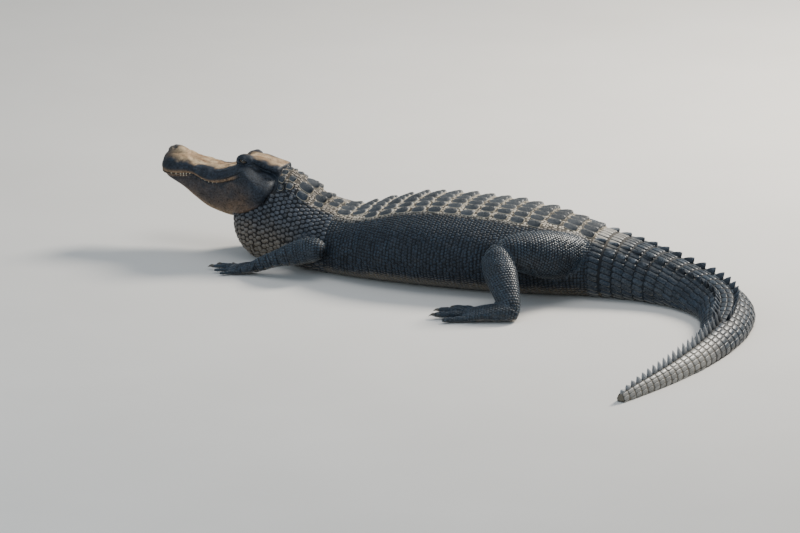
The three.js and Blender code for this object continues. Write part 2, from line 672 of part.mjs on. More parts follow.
function handParts() {
  const palm = [
    [-4, 0, 24, 22, 14], [22, 0, 18, 27, 17], [46, 2, 13, 31, 15], [66, 3, 10, 30, 11], [76, 3, 8, 24, 8],
  ];
  const toes = [
    { root: [50, -22], spread: -0.62, length: 44, radius: 9.5, arch: 3, claw: true },
    { root: [60, -12], spread: -0.26, length: 60, radius: 9.5, arch: 6, claw: true },
    { root: [64, 2], spread: 0.02, length: 64, radius: 9.5, arch: 8, claw: true },
    { root: [60, 14], spread: 0.3, length: 56, radius: 8.5, arch: 5, claw: false },
    { root: [52, 24], spread: 0.66, length: 44, radius: 8, arch: 3, claw: false },
  ];
  return { palm, toes, webbed: false };
}

function footParts() {
  const palm = [
    [-26, 0, 18, 16, 15], [-8, 0, 23, 28, 24], [26, 0, 23, 36, 25],
    [66, 2, 20, 42, 21], [102, 4, 15, 46, 15], [122, 4, 10, 40, 11],
  ];
  const toes = [
    { root: [94, -32], spread: -0.42, length: 78, radius: 13, arch: 4, claw: true },
    { root: [106, -11], spread: -0.14, length: 96, radius: 13.5, arch: 6, claw: true },
    { root: [106, 11], spread: 0.1, length: 98, radius: 13, arch: 6, claw: true },
    { root: [94, 31], spread: 0.34, length: 84, radius: 11, arch: 3, claw: false },
  ];
  return { palm, toes, webbed: true };
}

// The thin web between two neighbouring toes.
const WEB_LOW = 1.5;
const WEB_HIGH = 6;
const WEB_REACH = 0.68;
function webBetween(one, other) {
  const reach = (toe, t) => [
    toe.root[0] + toe.length * t * Math.cos(toe.spread),
    toe.root[1] + toe.length * t * Math.sin(toe.spread),
  ];
  const corners = [reach(one, 0), reach(one, WEB_REACH), reach(other, WEB_REACH), reach(other, 0)];
  const rings = [WEB_LOW, WEB_HIGH].map((z) => corners.map(([x, y]) => new THREE.Vector3(x, y, z)));
  return solid(loft(rings));
}

const FEET = [
  { name: 'hand_left', limb: 'fore_left', root: [-509, -214], heading: Math.PI - 0.06, mirror: 1 },
  { name: 'hand_right', limb: 'fore_right', root: [-489, 247], heading: Math.PI - 0.3, mirror: -1 },
  { name: 'foot_left', limb: 'hind_left', root: [304, -392], heading: Math.PI + 0.14, mirror: 1 },
  { name: 'foot_right', limb: 'hind_right', root: [318, 378], heading: Math.PI - 0.34, mirror: -1 },
].map((foot) => ({ ...foot, ...(foot.name.startsWith('hand') ? handParts() : footParts()) }));
const CLAW_LENGTH = 17;
const CLAW_RADIUS = 4.2;

// A curved, tapering claw that starts at the origin and points along +X.
function clawGeometry() {
  const rings = [0, 0.35, 0.7, 1].map((t) => {
    const radius = CLAW_RADIUS * (1 - 0.86 * t ** 1.3);
    const ring = [];
    for (let k = 0; k < 6; k += 1) {
      const angle = (2 * Math.PI * (k + 0.5)) / 6;
      ring.push(new THREE.Vector3(
        CLAW_LENGTH * t,
        radius * 0.8 * Math.cos(angle),
        radius * Math.sin(angle) - 3.4 * t ** 2,
      ));
    }
    return ring;
  });
  return loft(rings);
}

function addLimb(key) {
  const { upper, lower, upperName, lowerName } = LIMBS[key];
  const foot = FEET.find((entry) => entry.limb === key);
  const flat = key.startsWith('hind') ? LEAN_OUT : UPRIGHT;
  const frame = footFrame(foot.root, foot.heading, foot.mirror);
  const toes = foot.toes.map((toe) => ({ ...toe, stations: toeStations(toe) }));
  const webs = foot.webbed ? toes.slice(1).map((toe, i) => webBetween(toes[i], toe)) : [];
  const palmSolid = joined([
    solid(limbTube(foot.palm, ALONG_FLOOR)),
    ...toes.map((toe) => solid(limbTube(toe.stations, ALONG_FLOOR, { sides: 6 }))),
    ...webs,
  ]).transform(frame.elements);
  const palmClear = joined([
    solid(limbTube(foot.palm, ALONG_FLOOR, { grown: CLEAR, ends: CLEAR })),
  ]).transform(frame.elements);
  const lowerClear = solid(limbTube(lower, flat, { grown: CLEAR, ends: CLEAR }));
  const lowerSolid = solid(limbTube(lower, flat)).subtract(palmClear).subtract(trunkClearance);
  const upperSolid = solid(limbTube(upper, flat)).subtract(lowerClear).subtract(trunkClearance);
  addMesh(upperName, largestBody(upperSolid), SLATE);
  addMesh(lowerName, largestBody(lowerSolid), SLATE);
  addMesh(foot.name, largestBody(palmSolid), DARK_SLATE);

  // Claws on the three inner toes
  toes.filter((toe) => toe.claw).forEach((toe, i) => {
    const [x, y, z] = toe.stations[toe.stations.length - 1];
    const [bx, by, bz] = toe.stations[toe.stations.length - 2];
    const end = new THREE.Vector3(x, y, z).applyMatrix4(frame);
    const before = new THREE.Vector3(bx, by, bz).applyMatrix4(frame);
    const out = end.clone().sub(before).normalize();
    const across = new THREE.Vector3().crossVectors(UPRIGHT, out).normalize();
    const up = new THREE.Vector3().crossVectors(out, across);
    const claw = addMesh(`claw_${foot.name}_${i + 1}`, clawGeometry(), CLAW_HORN);
    claw.position.copy(end.addScaledVector(out, GAP));
    claw.quaternion.setFromRotationMatrix(new THREE.Matrix4().makeBasis(out, across, up));
  });
}
Object.keys(LIMBS).forEach(addLimb);

// The origin is at the middle of the footprint, on the floor
alligator.updateMatrixWorld(true);
const extent = new THREE.Box3().setFromObject(alligator, true);
const middle = extent.getCenter(new THREE.Vector3());
alligator.position.set(-middle.x, -middle.y, -extent.min.z);
alligator.updateMatrixWorld(true);

export default alligator;
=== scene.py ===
"""Looks of a life-size american alligator that rests on its belly with its head raised.

Lengths in the form classes are millimetres in the animal's own frame: x runs towards the
tail, the left side faces -y and the floor is z = 0. They become metres in the frame's own
coordinates when a mesh is made.
"""

import logging
import math
from dataclasses import dataclass, field
from enum import Enum
from typing import Callable, Iterable, Sequence

import bpy
import numpy as np
from mathutils import Matrix, Vector
from mathutils.bvhtree import BVHTree
from mathutils.kdtree import KDTree

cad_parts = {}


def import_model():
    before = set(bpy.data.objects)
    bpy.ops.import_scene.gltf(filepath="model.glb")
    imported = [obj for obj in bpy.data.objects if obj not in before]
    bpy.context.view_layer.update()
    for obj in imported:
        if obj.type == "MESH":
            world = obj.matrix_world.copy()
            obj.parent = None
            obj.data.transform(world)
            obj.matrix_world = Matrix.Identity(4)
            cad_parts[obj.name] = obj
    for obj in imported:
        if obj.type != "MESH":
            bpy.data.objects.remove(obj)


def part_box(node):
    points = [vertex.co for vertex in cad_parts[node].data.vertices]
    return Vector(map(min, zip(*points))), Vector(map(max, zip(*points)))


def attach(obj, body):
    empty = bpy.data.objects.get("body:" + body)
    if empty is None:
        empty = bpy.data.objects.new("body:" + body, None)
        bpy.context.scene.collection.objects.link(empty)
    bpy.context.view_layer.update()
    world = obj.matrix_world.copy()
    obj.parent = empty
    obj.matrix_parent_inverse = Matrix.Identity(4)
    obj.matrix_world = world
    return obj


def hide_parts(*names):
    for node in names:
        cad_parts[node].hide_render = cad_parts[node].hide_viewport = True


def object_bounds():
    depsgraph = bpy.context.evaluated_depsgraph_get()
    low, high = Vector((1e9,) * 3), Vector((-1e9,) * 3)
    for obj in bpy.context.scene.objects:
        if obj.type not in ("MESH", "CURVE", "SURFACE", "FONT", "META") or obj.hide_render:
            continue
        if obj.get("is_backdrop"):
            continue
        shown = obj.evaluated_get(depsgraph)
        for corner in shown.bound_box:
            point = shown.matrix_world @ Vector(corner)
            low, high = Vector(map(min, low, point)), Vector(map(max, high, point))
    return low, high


Array = np.ndarray
Colour = tuple[float, float, float]
LOG = logging.getLogger("alligator")

MM = 0.001
HEAD_LENGTH = 380.0
LEFT, RIGHT = 1.0, -1.0
SIDES = (LEFT, RIGHT)
NEIGHBOURS = tuple((dx, dy, dz) for dx in (-1, 0, 1) for dy in (-1, 0, 1) for dz in (-1, 0, 1))
LONG_SKIN_NODES = (
    "neck", "torso_front", "torso_middle", "torso_rear",
    "tail_1", "tail_2", "tail_3", "tail_4", "tail_5", "tail_6",
    "head_upper", "lower_jaw",
    "upper_arm_left", "forearm_left", "hand_left",
    "upper_arm_right", "forearm_right", "hand_right",
    "thigh_left", "shank_left", "foot_left",
    "thigh_right", "shank_right", "foot_right",
)


class Slot(Enum):
    """The record's material slots, paired with the coats of scales."""

    BACK = "back_skin"
    FOOT = "foot_skin"
    HEAD = "head_skin"
    TAIL = "tail_skin"
    CLAW = "claw_horn"
    EYE = "eye_gloss"


def profile(*pairs: tuple[float, float]) -> Callable[[Array], Array]:
    """Makes a smooth curve through pairs of place and value, level past both ends.

    Args:
        pairs: places in rising order, each with its value.

    Returns:
        A function that gives the value at each of an array of places.
    """
    places, values = np.array(pairs, float).T
    steps = np.diff(values) / np.diff(places)
    slopes = np.zeros(len(values))
    before, after = steps[:-1], steps[1:]
    same = before * after > 0
    total = np.where(same, before + after, 1.0)
    slopes[1:-1] = np.where(same, 2 * before * after / total, 0.0)

    def value(at: Array) -> Array:
        """The curve's value at each place."""
        at = np.clip(np.asarray(at, float), places[0], places[-1])
        i = np.clip(np.searchsorted(places, at, side="right") - 1, 0, len(places) - 2)
        span = places[i + 1] - places[i]
        t = (at - places[i]) / span
        bend = (t ** 3 - 2 * t ** 2 + t) * slopes[i] + (t ** 3 - t ** 2) * slopes[i + 1]
        return values[i] + (values[i + 1] - values[i]) * (3 * t ** 2 - 2 * t ** 3) + span * bend

    return value


def level(value: float) -> Callable[[Array], float]:
    """Makes a bound that is the same all along."""
    return lambda along: value


def signed_power(value: Array, power: Array | float) -> Array:
    """Raises a value's size to a power and keeps its sign."""
    return np.sign(value) * np.abs(value) ** power


def smooth_step(low: float, high: float, value: Array) -> Array:
    """Rises smoothly from 0 at low to 1 at high; low may be above high."""
    t = np.clip((np.asarray(value, float) - low) / (high - low), 0.0, 1.0)
    return t * t * (3 - 2 * t)


def between(start: float, whole: float, fading: float, end: float, value: Array) -> Array:
    """Rises smoothly from 0 at start to 1 at whole, and falls from fading to 0 at end."""
    return smooth_step(start, whole, value) * smooth_step(end, fading, value)


def circle(count: int) -> Array:
    """Gives evenly spread angles round a full turn."""
    return np.linspace(0, 2 * math.pi, count, endpoint=False)


def hump(value: Array, middle: Array | float, width: Array | float) -> Array:
    """A smooth hump that is 1 at its middle and fades over about its width."""
    return np.exp(-((value - middle) / width) ** 2)


def blob(places: Array, centre: Sequence[float], radii: Sequence[float], steepness: float = 1.0) -> Array:
    """A smooth blob that is 1 at its centre and fades over about its radii."""
    return np.exp(-(((places - centre) / radii) ** 2).sum(1) * steepness)


def unit(vectors: Array) -> Array:
    """Scales each vector to length one."""
    return vectors / np.maximum(np.linalg.norm(vectors, axis=-1, keepdims=True), 1e-12)


def hashed(cells: Array, salt: int) -> Array:
    """A steady number from 0 to 1 for each row of whole numbers."""
    mixed = np.full(cells.shape[:-1], salt * 374761393 + 668265263, np.uint64)
    for axis, prime in enumerate((73856093, 19349663, 83492791)):
        if axis < cells.shape[-1]:
            part = (cells[..., axis].astype(np.int64) + 100000).astype(np.uint64)
            mixed = (mixed ^ (part * np.uint64(prime))) * np.uint64(2654435761)
            mixed = mixed & np.uint64(0xFFFFFFFFFFFF)
            mixed = mixed ^ (mixed >> np.uint64(17))
    return (mixed % np.uint64(1000003)).astype(float) / 1000003.0


def cells(points: Array, size: float, salt: int) -> tuple[Array, Array, Array]:
    """Finds the two nearest jittered cell centres round each point.

    Args:
        points: places, in the same unit as size.
        size: the distance between cell centres.
        salt: picks one of many patterns.

    Returns:
        The nearest distance, the second nearest, both in cells, and the nearest
        cell's own number from 0 to 1.
    """
    scaled = points / size
    home = np.floor(scaled).astype(np.int64)
    nearest = np.full(len(points), 9.0)
    second = np.full(len(points), 9.0)
    owner = np.zeros(len(points))
    for step in NEIGHBOURS:
        cell = home + step
        centre = np.stack([hashed(cell, salt + k) for k in range(3)], 1)
        gap = np.linalg.norm(cell + centre - scaled, axis=1)
        closer = gap < nearest
        second = np.where(closer, nearest, np.minimum(second, gap))
        owner = np.where(closer, hashed(cell, salt + 7), owner)
        nearest = np.where(closer, gap, nearest)
    return nearest, second, owner


def soft_noise(points: Array, size: float, salt: int) -> Array:
    """Smooth noise from -1 to 1 whose bumps are about one size across."""
    scaled = points / size
    home = np.floor(scaled).astype(np.int64)
    t = scaled - home
    t = t * t * (3 - 2 * t)
    total = np.zeros(len(points))
    for corner in range(8):
        step = np.array([corner & 1, (corner >> 1) & 1, (corner >> 2) & 1])
        weight = np.prod(np.where(step, t, 1 - t), axis=1)
        total += weight * hashed(home + step, salt)
    return 2 * total - 1


class Spine:
    """The middle line of neck, trunk and tail, straight along the trunk and then curled left."""

    POINTS = (
        (-646, 26), (-520, 9), (-402, 0), (-138, 0), (152, 0), (440, 0), (583, -8),
        (728, -50), (844, -150), (899, -315), (908, -520), (882, -740), (822, -985),
    )
    FRONT = -646.0
    SAMPLES = 400

    def __init__(self) -> None:
        """Samples the curve closely and measures it."""
        line = self._sampled()
        strides = np.linalg.norm(np.diff(line, axis=0), axis=1)
        self.along = self.FRONT + np.concatenate([[0.0], np.cumsum(strides)])
        self.line = line
        self.heading = unit(np.gradient(line, axis=0))
        self.tip = float(self.along[-1])

    def _sampled(self) -> Array:
        """Points of a centripetal Catmull-Rom curve through the named points."""
        points = np.array(self.POINTS, float)
        points = np.vstack([2 * points[0] - points[1], points, 2 * points[-1] - points[-2]])
        pieces = []
        for i in range(len(points) - 3):
            p0, p1, p2, p3 = points[i:i + 4]
            d0, d1, d2 = (np.linalg.norm(b - a) ** 0.5 for a, b in ((p0, p1), (p1, p2), (p2, p3)))
            out = ((p1 - p0) / d0 - (p2 - p0) / (d0 + d1) + (p2 - p1) / d1) * d1
            back = ((p2 - p1) / d1 - (p3 - p1) / (d1 + d2) + (p3 - p2) / d2) * d1
            last = i == len(points) - 4
            t = np.linspace(0, 1, self.SAMPLES, endpoint=last)[:, None]
            blend = (t ** 3 - 2 * t ** 2 + t) * out + (t ** 3 - t ** 2) * back
            pieces.append(p1 + (p2 - p1) * (3 * t ** 2 - 2 * t ** 3) + blend)
        return np.vstack(pieces)

    def at(self, along: Array) -> tuple[Array, Array]:
        """Gives the place and the sideways direction, towards the right, at distances along it."""
        place = np.stack([np.interp(along, self.along, self.line[:, k]) for k in (0, 1)], -1)
        heading = np.stack([np.interp(along, self.along, self.heading[:, k]) for k in (0, 1)], -1)
        heading = unit(heading)
        return place, np.stack([-heading[..., 1], heading[..., 0]], -1)


class BodyForm:
    """The form of neck, trunk and tail, as sections along the spine."""

    NECK_REAR = -402.0
    VENT = 440.0
    TAIL_SHARES = (0.0, 0.14, 0.29, 0.45, 0.62, 0.8, 1.0)
    WHORLS = (5, 5, 6, 7, 8, 10)
    FLOOR_POWER = 2.6
    TABLE_STEP = 4.0
    ROUND_STEPS = 240

    def __init__(self) -> None:
        """Sets the profiles and measures the surface."""
        self.spine = Spine()
        self.top = profile(
            (-646, 128), (-620, 190), (-580, 226), (-540, 230), (-500, 224), (-460, 211),
            (-400, 186), (-340, 168), (-290, 161), (-210, 179), (-95, 206), (0, 215), (140, 214),
            (320, 197), (440, 167), (570, 134), (740, 96), (940, 77), (1140, 65), (1340, 54),
            (1540, 43), (1700, 31), (1800, 18), (1840, 9),
        )
        self.low = profile(
            (-646, 88), (-634, 58), (-618, 34), (-600, 14), (-582, -2), (-560, -12),
            (-400, -16), (1700, -10), (1840, -2),
        )
        self.half = profile(
            (-646, 30), (-628, 68), (-600, 96), (-560, 106), (-510, 112), (-460, 126),
            (-400, 146), (-320, 168), (-210, 200), (-95, 218), (0, 224), (120, 219), (240, 200),
            (340, 172), (440, 132), (560, 114), (740, 96), (940, 78), (1140, 62), (1340, 46),
            (1540, 30), (1690, 18), (1800, 8), (1840, 3),
        )
        self.widest = profile((-646, 0.45), (-400, 0.42), (0, 0.44), (440, 0.44), (900, 0.36), (1840, 0.35))
        self.roundness = profile((-646, 2.1), (-400, 2.1), (0, 2.15), (440, 2.05), (900, 1.75), (1840, 1.7))
        self._measure()

    def section(self, along: Array, angle: Array, grown: float = 0.0) -> tuple[Array, Array]:
        """Gives how far sideways and how high the surface is.

        Args:
            along: distances along the spine.
            angle: angles round the section, 0 at the right side and a quarter turn at the top.
            grown: how far the surface is moved out.

        Returns:
            Distances to the right of the spine, and heights.
        """
        top, low = self.top(along) + grown, self.low(along) - grown
        half = self.half(along) + grown
        middle = low + (top - low) * self.widest(along)
        up = np.sin(angle) >= 0
        power = 2 / np.where(up, self.roundness(along), self.FLOOR_POWER)
        across = half * signed_power(np.cos(angle), power)
        rise = np.where(up, top - middle, middle - low) * signed_power(np.sin(angle), power)
        return across, np.maximum(0.0, middle + rise)

    def points(self, along: Array, angle: Array, grown: float = 0.0) -> Array:
        """Gives places on the surface from distances along the spine and angles round it."""
        across, height = self.section(along, angle, grown)
        place, side = self.spine.at(along)
        flat = place + side * across[..., None]
        return np.concatenate([flat, height[..., None]], -1)

    def _measure(self) -> None:
        """Tables how far sideways and how high the skin is at each distance round from the top."""
        self.rows = np.arange(Spine.FRONT, self.spine.tip, self.TABLE_STEP)
        turn = np.linspace(0, math.pi, self.ROUND_STEPS)
        grid_along = np.repeat(self.rows[:, None], len(turn), 1)
        across, height = self.section(grid_along, np.pi / 2 - turn[None, :])
        stride = np.hypot(np.diff(across, axis=1), np.diff(height, axis=1))
        walked = np.concatenate([np.zeros((len(self.rows), 1)), np.cumsum(stride, 1)], 1)
        self.girth = walked[:, -1]
        self.steps = np.arange(0, walked.max(), self.TABLE_STEP)
        self.across_table = np.stack([np.interp(self.steps, w, a) for w, a in zip(walked, across)])
        self.height_table = np.stack([np.interp(self.steps, w, h) for w, h in zip(walked, height)])

    def half_girth(self, along: Array) -> Array:
        """The distance round the skin from the top line to the belly line."""
        return np.interp(along, self.rows, self.girth)

    def skin(self, along: Array, lateral: Array) -> Array:
        """Gives places on the skin.

        Args:
            along: distances along the spine.
            lateral: distances round the skin from the top line, above 0 to the right.

        Returns:
            The places, as rows of x, y and z.
        """
        i = np.clip((along - self.rows[0]) / self.TABLE_STEP, 0, len(self.rows) - 1.001)
        j = np.clip(np.abs(lateral) / self.TABLE_STEP, 0, len(self.steps) - 1.001)
        i0, j0 = i.astype(int), j.astype(int)
        s, t = i - i0, j - j0

        def read(table: Array) -> Array:
            """Reads a table between its entries."""
            near = table[i0, j0] * (1 - t) + table[i0, j0 + 1] * t
            far = table[i0 + 1, j0] * (1 - t) + table[i0 + 1, j0 + 1] * t
            return near * (1 - s) + far * s

        place, side = self.spine.at(along)
        flat = place + side * (np.sign(lateral) * read(self.across_table))[..., None]
        return np.concatenate([flat, read(self.height_table)[..., None]], -1)

    def frames(self, along: Array, lateral: Array, reach: float = 5.0) -> tuple[Array, Array, Array, Array]:
        """Gives places on the skin with their rearward, sideways and outward directions."""
        here = self.skin(along, lateral)
        rear = unit(self.skin(along + reach, lateral) - self.skin(along - reach, lateral))
        side = self.skin(along, lateral + reach) - self.skin(along, lateral - reach)
        side = unit(side - rear * (side * rear).sum(-1, keepdims=True))
        return here, rear, side, np.cross(rear, side)


class HeadForm:
    """The form of the head, in its own frame.

    In that frame x runs forward from the back of the skull, y to the animal's left and z up
    from the lip line.
    """

    ORIGIN = np.array([-513.0, 9.0, 169.0])
    YAW = math.radians(8)
    PITCH = math.radians(6)
    REAR = -0.05
    EYE = np.array([0.285 * HEAD_LENGTH, 37.0, 88.0])
    EYE_RADIUS = 14.0

    def __init__(self) -> None:
        """Sets the frame and the profiles, which are shares of the head's length."""
        forward = np.array([
            -math.cos(self.YAW) * math.cos(self.PITCH),
            math.sin(self.YAW) * math.cos(self.PITCH),
            math.sin(self.PITCH),
        ])
        left = np.array([-math.sin(self.YAW), -math.cos(self.YAW), 0.0])
        self.basis = np.stack([forward, left, np.cross(forward, left)])
        self.lip = profile(
            (-0.05, 0.22), (0.03, 0.272), (0.1, 0.282), (0.18, 0.268), (0.26, 0.24), (0.34, 0.212),
            (0.44, 0.19), (0.55, 0.175), (0.66, 0.158), (0.74, 0.148), (0.82, 0.145), (0.9, 0.138),
            (0.94, 0.122), (0.97, 0.095), (0.99, 0.058), (1, 0.02),
        )
        self.top = profile(
            (-0.05, 0.15), (0.03, 0.18), (0.12, 0.2), (0.24, 0.222), (0.32, 0.21), (0.4, 0.165),
            (0.5, 0.13), (0.6, 0.126), (0.72, 0.136), (0.85, 0.155), (0.93, 0.15), (0.97, 0.13),
            (0.99, 0.1), (1, 0.075),
        )
        self.mouth = profile(
            (-0.05, 0.02), (0.04, 0.06), (0.12, 0.13), (0.2, 0.165), (0.3, 0.112), (0.42, 0.05),
            (0.53, 0.024), (0.6, 0.03), (0.68, 0.045), (0.74, 0.036), (0.8, 0.02), (0.88, 0.004),
            (0.95, 0), (1, 0.012),
        )
        self.jaw = profile(
            (-0.05, 0.2), (0.02, 0.27), (0.09, 0.288), (0.18, 0.27), (0.26, 0.246), (0.36, 0.204),
            (0.46, 0.168), (0.56, 0.15), (0.68, 0.134), (0.82, 0.12), (0.9, 0.11), (0.94, 0.09),
            (0.97, 0.055), (1, 0.012),
        )
        self.chin = profile(
            (-0.05, 0.0), (0, -0.02), (0.05, -0.065), (0.11, -0.125), (0.18, -0.18), (0.27, -0.215),
            (0.4, -0.232), (0.55, -0.218), (0.68, -0.17), (0.8, -0.105), (0.88, -0.075),
            (0.93, -0.055), (0.97, -0.02), (1, 0.005),
        )
        self.boxiness = profile((-0.05, 1.8), (0.1, 1.9), (0.3, 2.2), (0.5, 2.6), (1, 2.6))

    def out(self, points: Array) -> Array:
        """Turns places in the head's frame into the animal's frame."""
        return self.ORIGIN + points @ self.basis

    def into(self, points: Array) -> Array:
        """Turns places in the animal's frame into the head's frame."""
        return (points - self.ORIGIN) @ self.basis.T

    def turn(self, directions: Array) -> Array:
        """Turns directions in the animal's frame into the head's frame."""
        return directions @ self.basis.T

    def arch(self, share: Array, angle: Array, upper: bool) -> Array:
        """Gives places on the upper or the lower arch of the head, from the left lip over to the right."""
        half = self.lip(share) if upper else self.jaw(share)
        peak = self.top(share) if upper else self.chin(share)
        roundness = self.boxiness(share) if upper else np.full_like(share, 2.4)
        base = self.mouth(share)
        across = half * signed_power(np.cos(angle), 2 / roundness)
        height = base + (peak - base) * np.abs(np.sin(angle)) ** (2 / roundness)
        return HEAD_LENGTH * np.stack([share, across, height], -1)


def walls(rings: int, sides: int) -> Array:
    """Gives the triangles between rings of points, as half by ring by point by corner."""
    r, k = np.meshgrid(np.arange(rings - 1), np.arange(sides), indexing="ij")
    a, b = r * sides + k, r * sides + (k + 1) % sides
    return np.stack([np.stack([a, b, b + sides], -1), np.stack([a, b + sides, a + sides], -1)])


def dome_faces(rings: int, sides: int) -> Array:
    """Gives the triangles of a closed form: its rings of points, then a crown and a foot point."""
    k = np.arange(sides)
    after, last = (k + 1) % sides, (rings - 1) * sides
    sheet = walls(rings, sides).transpose(1, 0, 2, 3).reshape(-1, 3)
    crown = np.stack([last + k, last + after, np.full(sides, rings * sides)], 1)
    foot = np.stack([after, k, np.full(sides, rings * sides + 1)], 1)
    return np.vstack([sheet, crown, foot])


@dataclass
class Blank:
    """A closed mesh that is being put together from simple closed forms."""

    vertices: list[Array] = field(default_factory=list)
    faces: list[Array] = field(default_factory=list)
    count: int = 0

    def add(self, vertices: Array, faces: Array) -> None:
        """Adds the vertices and the triangles of a closed form."""
        self.vertices.append(vertices)
        self.faces.append(faces + self.count)
        self.count += len(vertices)

    def loft(self, rings: Array) -> None:
        """Adds a closed body through rings, an array of ring by point by coordinate."""
        count, sides = rings.shape[:2]
        middles = np.stack([rings[0].mean(0), rings[-1].mean(0)])
        vertices = np.vstack([rings.reshape(-1, 3), middles])
        k = np.arange(sides)
        after, last, start = (k + 1) % sides, (count - 1) * sides, count * sides
        near = np.stack([np.full(sides, start), after, k], -1)
        far = np.stack([np.full(sides, start + 1), last + k, last + after], -1)
        faces = np.vstack([walls(count, sides).reshape(-1, 3), near, far])
        corner = vertices[faces]
        volume = np.einsum("ij,ij->i", corner[:, 0], np.cross(corner[:, 1], corner[:, 2])).sum()
        self.add(vertices, faces if volume > 0 else faces[:, ::-1])

    def ellipsoid(self, centre: Array, radii: Sequence[float], place: Callable[[Array], Array]) -> None:
        """Adds an ellipsoid that is then put in place by a function."""
        down = np.linspace(0.04, math.pi - 0.04, 18)[:, None]
        turn = circle(28)
        off = np.sin(down)
        rings = np.stack([np.cos(down) + 0 * turn, off * np.cos(turn), off * np.sin(turn)], -1)
        self.loft(place(centre + rings * np.array(radii)))

    def arrays(self) -> tuple[Array, Array]:
        """All vertices and faces so far."""
        return np.vstack(self.vertices), np.vstack(self.faces)


@dataclass(frozen=True)
class Toe:
    """A toe: where it leaves the palm, its direction, size and whether it has a claw."""

    root: tuple[float, float]
    spread: float
    length: float
    radius: float
    arch: float
    claw: bool

    def stations(self, shares: Array) -> Array:
        """Middle line and radii of the toe: rows of x, y, z, half width and half thickness."""
        t = np.maximum(0, shares)
        thick = self.radius * (1 - 0.38 * t)
        lift = self.arch * np.sin(np.pi * np.minimum(t, 0.62) / 0.9)
        x = self.root[0] + self.length * shares * math.cos(self.spread)
        y = self.root[1] + self.length * shares * math.sin(self.spread)
        return np.stack([x, y, 0.9 * thick + lift, thick, 0.9 * thick], -1)


@dataclass(frozen=True)
class Foot:
    """A hand or foot: its root on the floor, the way it points, its palm and toes."""

    name: str
    root: tuple[float, float]
    heading: float
    mirror: float
    palm: tuple[tuple[float, ...], ...]
    toes: tuple[Toe, ...]
    webbed: bool

    def place(self, points: Array) -> Array:
        """Turns places in the foot's frame into the animal's frame."""
        forward = np.array([math.cos(self.heading), math.sin(self.heading), 0.0])
        outward = np.array([-forward[1], forward[0], 0.0]) * self.mirror
        flat = points[..., :1] * forward + points[..., 1:2] * outward
        flat = flat + np.array([self.root[0], self.root[1], 0.0])
        return flat + points[..., 2:3] * np.array([0.0, 0.0, 1.0])


HAND_PALM = (
    (-4, 0, 24, 22, 14), (22, 0, 18, 27, 17), (46, 2, 13, 31, 15), (66, 3, 10, 30, 11), (76, 3, 8, 24, 8),
)
HAND_TOES = (
    Toe((50, -22), -0.62, 44, 9.5, 3, True),
    Toe((60, -12), -0.26, 60, 9.5, 6, True),
    Toe((64, 2), 0.02, 64, 9.5, 8, True),
    Toe((60, 14), 0.3, 56, 8.5, 5, False),
    Toe((52, 24), 0.66, 44, 8, 3, False),
)
FOOT_PALM = (
    (-26, 0, 18, 16, 15), (-8, 0, 23, 28, 24), (26, 0, 23, 36, 25),
    (66, 2, 20, 42, 21), (102, 4, 15, 46, 15), (122, 4, 10, 40, 11),
)
FOOT_TOES = (
    Toe((94, -32), -0.42, 78, 13, 4, True),
    Toe((106, -11), -0.14, 96, 13.5, 6, True),
    Toe((106, 11), 0.1, 98, 13, 6, True),
    Toe((94, 31), 0.34, 84, 11, 3, False),
)
FEET = (
    Foot("hand_left", (-509, -214), math.pi - 0.06, 1, HAND_PALM, HAND_TOES, False),
    Foot("hand_right", (-489, 247), math.pi - 0.3, -1, HAND_PALM, HAND_TOES, False),
    Foot("foot_left", (304, -392), math.pi + 0.14, 1, FOOT_PALM, FOOT_TOES, True),
    Foot("foot_right", (318, 378), math.pi - 0.34, -1, FOOT_PALM, FOOT_TOES, True),
)


@dataclass(frozen=True)
class Limb:
    """An upper or lower leg: rows of x, y, z, half width and half thickness."""

    name: str
    stations: tuple[tuple[float, ...], ...]
    flat: tuple[float, float, float]


